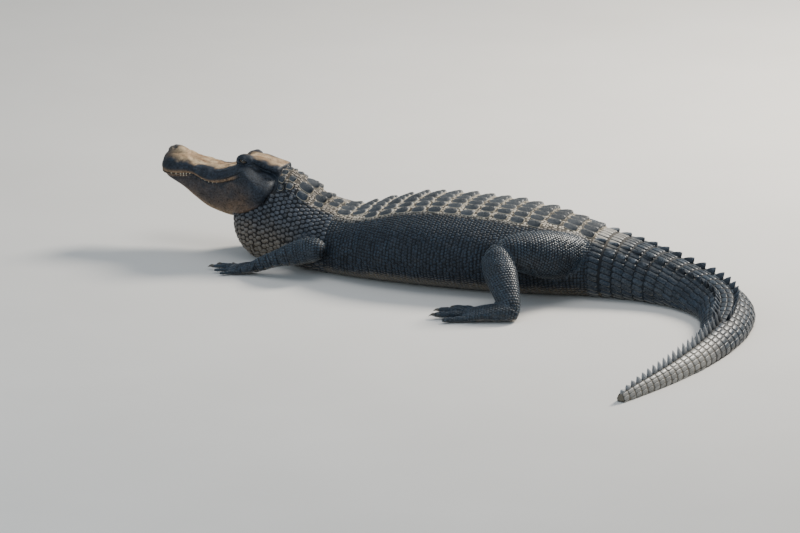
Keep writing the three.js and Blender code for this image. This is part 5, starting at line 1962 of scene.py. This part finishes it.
@dataclass
class Claws:
    """The curved claws on the three inner toes of each foot."""

    anatomy: Anatomy
    length: float = 17.0
    radius: float = 4.2
    corners: int = 18
    stations: int = 16
    pieces: list[bpy.types.Object] = field(default_factory=list)

    ROOT = -0.28
    FLOOR_GAP = 0.3

    def build(self) -> None:
        """Makes each claw at the end of its toe."""
        turn = circle(self.corners)
        for foot in FEET:
            clawed = [toe for toe in foot.toes if toe.claw]
            for number, toe in enumerate(clawed, 1):
                end = toe.stations(np.array([1.0]))[0]
                way = np.array([math.cos(toe.spread), math.sin(toe.spread), 0.0])
                across = np.array([-way[1], way[0], 0.0])
                upright = np.array([0, 0, 1.0])
                offset = across * np.cos(turn)[:, None] + upright * 1.1 * np.sin(turn)[:, None]
                rings = []
                for t in np.linspace(self.ROOT, 1, self.stations):
                    out = max(t, 0)
                    drop = -0.5 * end[2] * out ** 1.6 + 1.6 * math.sin(math.pi * out)
                    middle = end[:3] + way * self.length * t + upright * drop
                    radius = self.radius * max(0.04, (1 - out ** 1.5)) * (0.96 if t < 0 else 1.0)
                    rings.append(middle + radius * offset)
                placed = foot.place(np.array(rings))
                placed[..., 2] = np.maximum(placed[..., 2], self.FLOOR_GAP)
                blank = Blank()
                blank.loft(placed)
                places, faces = blank.arrays()
                name = f"horn_{foot.name}_{number}"
                self.pieces.append(make_object(name, self.anatomy.to_frame(places), faces))
        LOG.info("claws: %d", len(self.pieces))

    def dress(self, material: bpy.types.Material) -> None:
        """Gives each claw its finish and puts it in place of its node."""
        for piece in self.pieces:
            finish_piece(piece, material)
            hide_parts(piece.name.replace("horn", "claw"))


class Nodes:
    """A short way to add and link shader nodes."""

    def __init__(self, tree: bpy.types.NodeTree) -> None:
        """Works on one tree."""
        self.tree = tree

    def add(self, kind: str, **values: object) -> bpy.types.Node:
        """Adds a node; names with in_ before them set its inputs, by number or by name."""
        node = self.tree.nodes.new(kind)
        for name, value in values.items():
            if name.startswith("in_"):
                key = name[3:]
                socket = node.inputs[int(key)] if key.isdigit() else node.inputs[key.replace("_", " ")]
                self.put(socket, value)
            else:
                setattr(node, name, value)
        return node

    def put(self, socket: bpy.types.NodeSocket, value: object) -> None:
        """Links an output to an input, or sets the input's value."""
        if isinstance(value, bpy.types.NodeSocket):
            self.tree.links.new(value, socket)
        else:
            socket.default_value = value

    def math(
        self, operation: str, first: object, second: object = 0.0, clamp: bool = False,
    ) -> bpy.types.NodeSocket:
        """Adds a calculation with two values."""
        node = self.add("ShaderNodeMath", operation=operation, use_clamp=clamp, in_0=first, in_1=second)
        return node.outputs[0]

    def plus(self, first: object, second: object, clamp: bool = False) -> bpy.types.NodeSocket:
        """Adds two values together."""
        return self.math("ADD", first, second, clamp)

    def times(self, first: object, second: object) -> bpy.types.NodeSocket:
        """Multiplies two values."""
        return self.math("MULTIPLY", first, second)

    def mix(self, share: object, first: object, second: object, blend: str = "MIX") -> bpy.types.NodeSocket:
        """Adds a mix of two colours."""
        node = self.add("ShaderNodeMix", data_type="RGBA", blend_type=blend)
        for socket, value in ((node.inputs[0], share), (node.inputs[6], first), (node.inputs[7], second)):
            self.put(socket, value)
        return node.outputs[2]

    def span(
        self, value: object, low: float, high: float, to_low: float = 0.0, to_high: float = 1.0,
    ) -> bpy.types.NodeSocket:
        """Adds a change of range that stays inside its ends."""
        ends = {"in_1": low, "in_2": high, "in_3": to_low, "in_4": to_high}
        return self.add("ShaderNodeMapRange", in_0=value, **ends).outputs[0]

    def noise(self, place: object, scale: float, detail: float = 4.0) -> bpy.types.NodeSocket:
        """Adds smooth noise."""
        values = {"in_Vector": place, "in_Scale": scale, "in_Detail": detail, "in_Roughness": 0.55}
        return self.add("ShaderNodeTexNoise", **values).outputs[0]

    def mark(self, name: str) -> bpy.types.NodeSocket:
        """Adds the reading of a colour that the mesh carries."""
        return self.add("ShaderNodeAttribute", attribute_name=name).outputs["Color"]

    def parts(self, colour: object) -> Sequence[bpy.types.NodeSocket]:
        """Adds the parting of a colour into its three values."""
        return self.add("ShaderNodeSeparateColor", in_0=colour).outputs

    def place(self) -> bpy.types.NodeSocket:
        """Adds the reading of the place on the object."""
        return self.add("ShaderNodeTexCoord").outputs["Object"]


def new_material(name: str) -> tuple[bpy.types.Material, Nodes]:
    """Makes a material without nodes, and the way to add them."""
    made = bpy.data.materials.new(name)
    made.use_nodes = True
    made.node_tree.nodes.clear()
    return made, Nodes(made.node_tree)


def rgba(colour: Colour) -> tuple[float, float, float, float]:
    """Adds full alpha to a colour."""
    return (*colour, 1.0)


def group(
    name: str, inputs: Sequence[tuple[str, str, object]], outputs: dict[str, str],
) -> bpy.types.NodeTree:
    """Makes an empty node group with named sockets.

    Args:
        name: the group's name.
        inputs: for each input its name, kind and starting value.
        outputs: the kind of each output.

    Returns:
        The group.
    """
    tree = bpy.data.node_groups.new(name, "ShaderNodeTree")
    kinds = {"colour": "NodeSocketColor", "value": "NodeSocketFloat"}
    for word, kind, start in inputs:
        socket = tree.interface.new_socket(word, in_out="INPUT", socket_type=kinds[kind])
        socket.default_value = start
    for word, kind in outputs.items():
        tree.interface.new_socket(word, in_out="OUTPUT", socket_type=kinds[kind])
    return tree


SKIN_COLOURS = ("Dark", "Slate", "Tan", "Cream", "Seam", "Worn and highlight")


def scale_group() -> bpy.types.NodeTree:
    """Makes the colour, roughness and height of scaly skin from its marks."""
    tree = group(
        "scaly skin",
        [
            ("Tint", "colour", (0, 0, 0, 1)), ("GrainShadeAndHighlight", "colour", (1, 0.5, 0.5, 1)),
            *((word, "colour", (0, 0, 0, 1)) for word in SKIN_COLOURS),
            ("Wear and highlight", "value", 0.3), ("Gloss", "value", 0.5),
        ],
        {"Color": "colour", "Roughness": "value", "Height": "value"},
    )
    n = Nodes(tree)
    given = n.add("NodeGroupInput").outputs
    place = n.place()
    pale_brown, pale, patch = n.parts(given["Tint"])
    crown, chance, ridge = n.parts(given["GrainShadeAndHighlight"])
    broad = n.noise(place, 22.0, 4.0)
    fine = n.noise(place, 240.0, 5.0)
    speck = n.noise(place, 900.0, 2.0)
    mottle = n.plus(n.times(patch, 0.5), n.times(broad, 0.7))
    mottle = n.span(n.plus(mottle, n.times(chance, 0.35)), 0.45, 1.0)
    colour = n.mix(mottle, given["Dark"], given["Slate"])
    spread = n.times(n.math("SUBTRACT", fine, 0.5), 0.9)
    for share, word in ((pale_brown, "Tan"), (pale, "Cream")):
        colour = n.mix(n.plus(share, n.times(spread, share), clamp=True), colour, given[word])
    shade = n.plus(0.72, n.times(n.plus(chance, fine), 0.28))
    shaded = n.add("ShaderNodeCombineColor", in_0=shade, in_1=shade, in_2=shade).outputs[0]
    colour = n.mix(1.0, colour, shaded, "MULTIPLY")
    # Rubbed, lighter colour on the highest parts: wear, and on plate keels and fin tops a painted highlight
    worn_and_highlight = n.times(n.span(ridge, 0.35, 1.0), n.span(fine, 0.42, 0.62))
    colour = n.mix(n.times(worn_and_highlight, given["Wear and highlight"]), colour, given["Worn and highlight"])
    # The joint colour: dark joints between scales, painted shade in the head's hollows, and painted sunlit
    # rims on the bony plates
    seam_shade_and_sunlit_rim = n.span(crown, 0.55, 0.05)
    colour = n.mix(n.times(seam_shade_and_sunlit_rim, 0.85), colour, given["Seam"])
    rough = n.plus(n.span(fine, 0.3, 0.7, 0.0, 0.2), n.times(seam_shade_and_sunlit_rim, 0.2))
    rough = n.plus(n.math("SUBTRACT", 0.75, given["Gloss"]), rough, clamp=True)
    height = n.plus(n.times(fine, 0.7), n.times(speck, 0.35))
    end = n.add("NodeGroupOutput")
    for word, value in (("Color", colour), ("Roughness", rough), ("Height", height)):
        n.put(end.inputs[word], value)
    return tree


@dataclass(frozen=True)
class ScalyFinish:
    """A finish of scaly skin or horny plate, with its colours."""

    name: str
    dark: Colour
    slate: Colour
    tan: Colour
    cream: Colour
    # The joint colour, also painted shade in hollows and a painted sunlit rim on bony plates
    seam_shade_and_sunlit_rim: Colour
    # The rubbed colour and its share: wear, and on plates and fins a painted highlight
    worn_and_highlight: Colour
    wear_and_highlight: float = 0.3
    gloss: float = 0.35
    bump: float = 0.4
    coat: float = 0.0
    shine: float = 0.3

    COAT_ROUGH = 0.3
    CREASE = 0.0006

    def material(self, skin: bpy.types.NodeTree) -> bpy.types.Material:
        """Makes the material around the shared group."""
        made, n = new_material(self.name)
        scaly = n.add("ShaderNodeGroup", node_tree=skin)
        colours = (self.dark, self.slate, self.tan, self.cream, self.seam_shade_and_sunlit_rim, self.worn_and_highlight)
        values = {
            "Tint": n.mark("Tint"), "GrainShadeAndHighlight": n.mark("GrainShadeAndHighlight"), "Wear and highlight": self.wear_and_highlight, "Gloss": self.gloss,
            **dict(zip(SKIN_COLOURS, map(rgba, colours))),
        }
        for word, value in values.items():
            n.put(scaly.inputs[word], value)
        height = scaly.outputs["Height"]
        bump = n.add("ShaderNodeBump", in_Strength=self.bump, in_Distance=self.CREASE, in_Height=height)
        surface = n.add(
            "ShaderNodeBsdfPrincipled", in_Base_Color=scaly.outputs["Color"],
            in_Roughness=scaly.outputs["Roughness"], in_Normal=bump.outputs[0],
            in_Coat_Weight=self.coat, in_Coat_Roughness=self.COAT_ROUGH, in_Specular_IOR_Level=self.shine,
        )
        n.add("ShaderNodeOutputMaterial", in_Surface=surface.outputs[0])
        return made


@dataclass(frozen=True)
class EyeFinish:
    """The finish of an eyeball: an amber iris, darkened as painted shade, round an upright pupil, under a wet
    coat.
    """

    # The iris is darker than a real one: painted shade over the eye
    iris: Colour = (0.05, 0.03, 0.011)
    rim: Colour = (0.02, 0.014, 0.01)
    pupil: Colour = (0.002, 0.002, 0.002)

    def material(self) -> bpy.types.Material:
        """Makes the eye's material."""
        made, n = new_material("wet eye")
        gaze = n.mark("Gaze")
        part = n.parts(gaze)
        x, z = (n.math("ABSOLUTE", n.math("SUBTRACT", value, 0.5)) for value in (part[0], part[1]))
        upright = n.math("POWER", n.math("DIVIDE", z, 0.3), 2.0)
        slit = n.plus(upright, n.math("DIVIDE", x, 0.045))
        streak = n.noise(gaze, 60.0, 3.0)
        around = n.math("SQRT", n.plus(n.times(x, x), n.times(z, z)))
        shaded = rgba(tuple(0.5 * tone for tone in self.iris))
        colour = n.mix(n.span(streak, 0.35, 0.65), rgba(self.iris), shaded)
        colour = n.mix(n.span(around, 0.26, 0.36), colour, rgba(self.rim))
        colour = n.mix(n.span(slit, 1.15, 0.85), colour, rgba(self.pupil))
        rough = n.span(streak, 0.3, 0.7, 0.18, 0.3)
        surface = n.add(
            "ShaderNodeBsdfPrincipled", in_Base_Color=colour, in_Roughness=rough,
            in_Coat_Weight=0.6, in_Coat_Roughness=0.05, in_Specular_IOR_Level=0.35,
        )
        n.add("ShaderNodeOutputMaterial", in_Surface=surface.outputs[0])
        return made


@dataclass(frozen=True)
class HornFinish:
    """The finish of claws or teeth: two colours in long streaks."""

    name: str
    light: Colour
    deep: Colour
    rough: float

    def material(self) -> bpy.types.Material:
        """Makes the material."""
        made, n = new_material(self.name)
        place = n.place()
        streak = n.noise(place, 320.0, 4.0)
        broad = n.noise(place, 70.0, 2.0)
        colour = n.mix(n.span(n.plus(streak, broad), 0.75, 1.25), rgba(self.deep), rgba(self.light))
        rough = n.span(streak, 0.3, 0.7, self.rough - 0.08, self.rough + 0.1)
        bump = n.add("ShaderNodeBump", in_Strength=0.25, in_Distance=0.0004, in_Height=streak)
        surface = n.add(
            "ShaderNodeBsdfPrincipled",
            in_Base_Color=colour, in_Roughness=rough, in_Normal=bump.outputs[0],
        )
        n.add("ShaderNodeOutputMaterial", in_Surface=surface.outputs[0])
        return made


@dataclass
class Studio:
    """The pale floor, the soft lights and the camera."""

    anatomy: Anatomy
    azimuth: float = math.radians(20)
    elevation: float = math.radians(16.5)
    distance: float = 20.0
    lens: float = 321.43
    offset: tuple[float, float] = (-0.1456, 0.0154)

    FLOOR_REACH = 14.0
    FLOOR_STEPS = 20
    FLOOR_LIGHT = (0.66, 0.64, 0.61)
    FLOOR_DEEP = (0.62, 0.6, 0.57)
    SKY = (0.76, 0.88, 1.0)
    LIT_PLACE = (0.1, 0.1, 0.1)

    def build(self) -> None:
        """Makes floor, lights and camera."""
        self._floor()
        self._light("key", (2.0, 3.4, 2.9), size=1.3, power=430, colour=(1.0, 0.94, 0.84))
        self._light("fill", (-2.6, -4.2, 2.2), size=3.4, power=70, colour=(0.68, 0.84, 1.0))
        self._light("top", (0.4, 0.4, 4.4), size=2.6, power=60, colour=(1.0, 0.99, 0.97))
        self._sky()
        self._camera()

    def _floor(self) -> None:
        """Makes a wide flat floor."""
        count = self.FLOOR_STEPS + 1
        steps = np.linspace(-1, 1, count) * self.FLOOR_REACH
        along, across = np.meshgrid(steps, steps, indexing="ij")
        places = np.stack([along.ravel(), across.ravel(), np.zeros(along.size)], 1)
        i, j = np.meshgrid(np.arange(self.FLOOR_STEPS), np.arange(self.FLOOR_STEPS), indexing="ij")
        a = (i * count + j).ravel()
        floor = make_object("floor", places, np.stack([a, a + count, a + count + 1, a + 1], 1))
        made, n = new_material("pale floor")
        cloud = n.noise(n.place(), 1.5, 3.0)
        colour = n.mix(n.span(cloud, 0.3, 0.7), rgba(self.FLOOR_DEEP), rgba(self.FLOOR_LIGHT))
        surface = n.add("ShaderNodeBsdfPrincipled", in_Base_Color=colour, in_Roughness=0.85)
        n.add("ShaderNodeOutputMaterial", in_Surface=surface.outputs[0])
        floor.data.materials.append(made)
        floor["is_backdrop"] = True

    def _light(self, name: str, place: Sequence[float], size: float, power: float, colour: Colour) -> None:
        """Makes one soft light that shines at the animal."""
        lamp = bpy.data.lights.new(name, "AREA")
        lamp.shape = "DISK"
        lamp.size = size
        lamp.energy = power
        lamp.color = colour
        piece = bpy.data.objects.new(name, lamp)
        piece.location = place
        way = Vector(self.LIT_PLACE) - Vector(place)
        piece.rotation_euler = way.to_track_quat("-Z", "Y").to_euler()
        bpy.context.scene.collection.objects.link(piece)

    def _sky(self) -> None:
        """Makes a pale sky."""
        sky = bpy.data.worlds.new("studio sky")
        bpy.context.scene.world = sky
        sky.use_nodes = True
        back = sky.node_tree.nodes["Background"]
        back.inputs["Color"].default_value = rgba(self.SKY)
        back.inputs["Strength"].default_value = 0.5

    def _camera(self) -> None:
        """Makes the camera at the photograph's viewing angle."""
        back = Vector((
            math.sin(self.azimuth) * math.cos(self.elevation),
            -math.cos(self.azimuth) * math.cos(self.elevation),
            math.sin(self.elevation),
        ))
        right = Vector((math.cos(self.azimuth), math.sin(self.azimuth), 0.0))
        up = back.cross(right)
        target = Vector(self.anatomy.shift) + right * self.offset[0] + up * self.offset[1]
        lens = bpy.data.cameras.new("camera")
        lens.lens = self.lens
        lens.sensor_width = 36.0
        lens.clip_end = 100.0
        piece = bpy.data.objects.new("camera", lens)
        turn = Matrix((right, up, back)).transposed()
        piece.matrix_world = Matrix.Translation(target + back * self.distance) @ turn.to_4x4()
        bpy.context.scene.collection.objects.link(piece)
        bpy.context.scene.camera = piece


# The slate colours are dark grey skin with a blue tint that is partly painted blue skylight
SLATE_DARK = (0.004, 0.008, 0.014)
SKIN = ScalyFinish(
    "hide", dark=SLATE_DARK, slate=(0.012, 0.021, 0.033), tan=(0.3, 0.2, 0.11),
    cream=(0.5, 0.42, 0.3), seam_shade_and_sunlit_rim=(0.004, 0.005, 0.007), worn_and_highlight=(0.08, 0.085, 0.09), wear_and_highlight=0.2, gloss=0.4,
)
# The face's tan and cream colour the light top of the head: partly dry skin, partly painted sunlight
FACE = ScalyFinish(
    "face", dark=(0.007, 0.011, 0.018), slate=(0.022, 0.03, 0.043), tan=(0.3, 0.17, 0.078),
    cream=(0.62, 0.47, 0.29), seam_shade_and_sunlit_rim=(0.006, 0.006, 0.007), worn_and_highlight=(0.1, 0.1, 0.105), wear_and_highlight=0.35, gloss=0.24,
    bump=0.6,
)
# Bony plates: dark faces, partly painted shade; the light joint colour paints sunlit rims, and the rubbed
# colour paints sunlit keels as well as wear
PLATE = ScalyFinish(
    "bony plates", dark=(0.008, 0.012, 0.018), slate=(0.03, 0.041, 0.056), tan=(0.04, 0.046, 0.056),
    cream=(0.085, 0.088, 0.09), seam_shade_and_sunlit_rim=(0.72, 0.64, 0.5), worn_and_highlight=(0.5, 0.46, 0.4), wear_and_highlight=0.22, gloss=0.38,
)
# Tail fins: the pale rubbed colour on fin tops is partly wear and partly painted highlight; the pale cream
# carries the painted sunlight on the tail's far end
FIN = ScalyFinish(
    "tail fins", dark=(0.008, 0.012, 0.018), slate=(0.03, 0.041, 0.056), tan=(0.05, 0.054, 0.06),
    cream=(0.5, 0.52, 0.54), seam_shade_and_sunlit_rim=(0.05, 0.05, 0.05), worn_and_highlight=(0.4, 0.42, 0.46), wear_and_highlight=0.55, gloss=0.42,
)
# Tail scales: the cream serves the pale belly and the painted sunlight on the tail's far end
SCALE = ScalyFinish(
    "tail scales", dark=SLATE_DARK, slate=(0.014, 0.026, 0.042), tan=(0.2, 0.15, 0.1),
    cream=(0.6, 0.57, 0.51), seam_shade_and_sunlit_rim=(0.004, 0.006, 0.008), worn_and_highlight=(0.16, 0.17, 0.18), wear_and_highlight=0.25, gloss=0.45,
)
FLANK = ScalyFinish(
    "flank scales", dark=SLATE_DARK, slate=(0.012, 0.024, 0.04), tan=(0.22, 0.155, 0.095),
    cream=(0.5, 0.44, 0.36), seam_shade_and_sunlit_rim=(0.004, 0.006, 0.008), worn_and_highlight=(0.07, 0.085, 0.105), wear_and_highlight=0.3, gloss=0.45,
)
# Back beads: the bright tan and cream are partly dry skin and partly painted sunlight on the back
GAP = ScalyFinish(
    "back beads", dark=(0.012, 0.016, 0.021), slate=(0.05, 0.055, 0.06), tan=(0.5, 0.41, 0.29),
    cream=(0.7, 0.62, 0.5), seam_shade_and_sunlit_rim=(0.26, 0.21, 0.15), worn_and_highlight=(0.5, 0.46, 0.4), wear_and_highlight=0.3, gloss=0.34,
)
NECK = ScalyFinish(
    "neck scales", dark=(0.014, 0.018, 0.025), slate=(0.045, 0.054, 0.07), tan=(0.24, 0.17, 0.1),
    cream=(0.5, 0.43, 0.34), seam_shade_and_sunlit_rim=(0.004, 0.004, 0.005), worn_and_highlight=(0.15, 0.155, 0.165), wear_and_highlight=0.4, gloss=0.38,
)
LEG = ScalyFinish(
    "leg scales", dark=SLATE_DARK, slate=(0.011, 0.025, 0.043), tan=(0.18, 0.13, 0.085),
    cream=(0.42, 0.4, 0.37), seam_shade_and_sunlit_rim=(0.004, 0.006, 0.009), worn_and_highlight=(0.1, 0.125, 0.15), wear_and_highlight=0.35, gloss=0.5,
    coat=0.2,
)


def coats(anatomy: Anatomy, hide: Hide) -> list[tuple[Coat, ScalyFinish, Slot]]:
    """Makes every coat of scales with its finish and slot."""
    plates = Coat("back_plates", anatomy)
    bony = BackPlates(anatomy, hide)
    bony.build(plates)
    spots = bony.spots()
    crest = TailCrest(anatomy)
    fins = Coat("tail_crest", anatomy)
    crest.build(fins)
    tail = Coat("tail_scales", anatomy)
    TailScales(hide, crest).build(tail)
    edge = profile((-330, 96), (-207, 118), (224, 118), (320, 84), (440, 60))
    half_girth = anatomy.body.half_girth
    shoulder, waist, hips = -322, 58, 455
    flanks = []
    for word, first, last in (("front", -326, waist - 0.1), ("rear", waist, 452)):
        flank = Coat(f"flank_scales_{word}", anatomy)
        BodyScales(hide, spots).build(flank, (
            ScaleField(
                first, last, edge, level(0.7), length=9.6, width=9.0, height=0.9, squareness=2.3,
                salt=51, ragged=0.14,
            ),
            ScaleField(
                first, last, lambda at: 0.7 * half_girth(at), level(0.97), length=22.0, width=19.0,
                height=1.2, squareness=4.0, salt=55, ragged=0.04,
            ),
        ))
        flanks.append(flank)
    gaps = Coat("back_beads", anatomy)
    BodyScales(hide, spots).build(gaps, (
        ScaleField(
            -330, 446, level(2), lambda at: edge(at) / half_girth(at), length=8.4, width=7.6,
            height=0.9, squareness=2.2, salt=64, ragged=0.26, fill=1.02,
        ),
    ))
    neck = Coat("neck_scales", anatomy)
    BodyScales(hide, spots).build(neck, (
        ScaleField(
            -660, -328, level(66), level(0.95), length=13.2, width=14.4, height=2.6, squareness=2.3,
            salt=58, ragged=0.1, fill=1.27, flatness=0.74, narrow=0.67,
        ),
        ScaleField(
            -560, -328, level(1), lambda at: 72 / half_girth(at), length=10.0, width=7.4, height=1.8,
            squareness=2.4, salt=66, ragged=0.2, fill=1.08,
        ),
    ))
    legs = [Coat(f"{foot.name}_scales", anatomy) for foot in FEET]
    for number, coat in enumerate(legs):
        LegScales(hide).build(coat, slice(2 * number, 2 * number + 2), slice(number, number + 1))
    fill = GapScales(hide, plates, [*flanks, gaps, neck, tail, *legs])
    x, y = fill.places[:, :2].T
    reach = np.where(x < shoulder, 165, 235)
    on_trunk = np.abs(y) < reach
    fill.build(neck, (x < shoulder) & on_trunk, spacing=11.5, height=2.2)
    for flank, first, last in ((flanks[0], shoulder, waist), (flanks[1], waist, hips)):
        fill.build(flank, (x >= first) & (x < last) & on_trunk, spacing=9.2, height=0.9)
    for number, foot in enumerate(FEET):
        side = -1 if foot.name.endswith("left") else 1
        part = (x < -150) if number < 2 else (x > -150)
        fill.build(legs[number], part & (x < hips) & (y * side > reach), spacing=7.8, height=0.8)
    return [
        (plates, PLATE, Slot.BACK), (fins, FIN, Slot.TAIL), (tail, SCALE, Slot.TAIL),
        (gaps, GAP, Slot.BACK), (neck, NECK, Slot.BACK),
        *((flank, FLANK, Slot.BACK) for flank in flanks), *((leg, LEG, Slot.FOOT) for leg in legs),
    ]


def main() -> None:
    """Builds the animal and its studio."""
    logging.basicConfig(level=logging.INFO, format="%(name)s %(message)s")
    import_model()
    solid_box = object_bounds()
    anatomy = Anatomy(solid_box)
    Studio(anatomy).build()
    scaly = scale_group()
    skin, face = SKIN.material(scaly), FACE.material(scaly)
    hide = Hide(anatomy)
    hide.build()
    hide.dress(skin, face)
    finishes = {SKIN.name: skin}
    for coat, finish, slot in coats(anatomy, hide):
        if finish.name not in finishes:
            finishes[finish.name] = finish.material(scaly)
        finish_piece(coat.build(), finishes[finish.name])
    eyes = Eyes(anatomy)
    eyes.build()
    eyes.dress(EyeFinish().material(), face)
    teeth = Teeth(anatomy)
    teeth.build()
    ivory = HornFinish("ivory teeth", light=(0.72, 0.66, 0.52), deep=(0.5, 0.42, 0.28), rough=0.35)
    teeth.dress(ivory.material())
    claws = Claws(anatomy)
    claws.build()
    dark = HornFinish("dark claws", light=(0.1, 0.085, 0.065), deep=(0.03, 0.026, 0.022), rough=0.4)
    claws.dress(dark.material())
    bpy.context.view_layer.update()


if __name__ == "__main__":
    main()
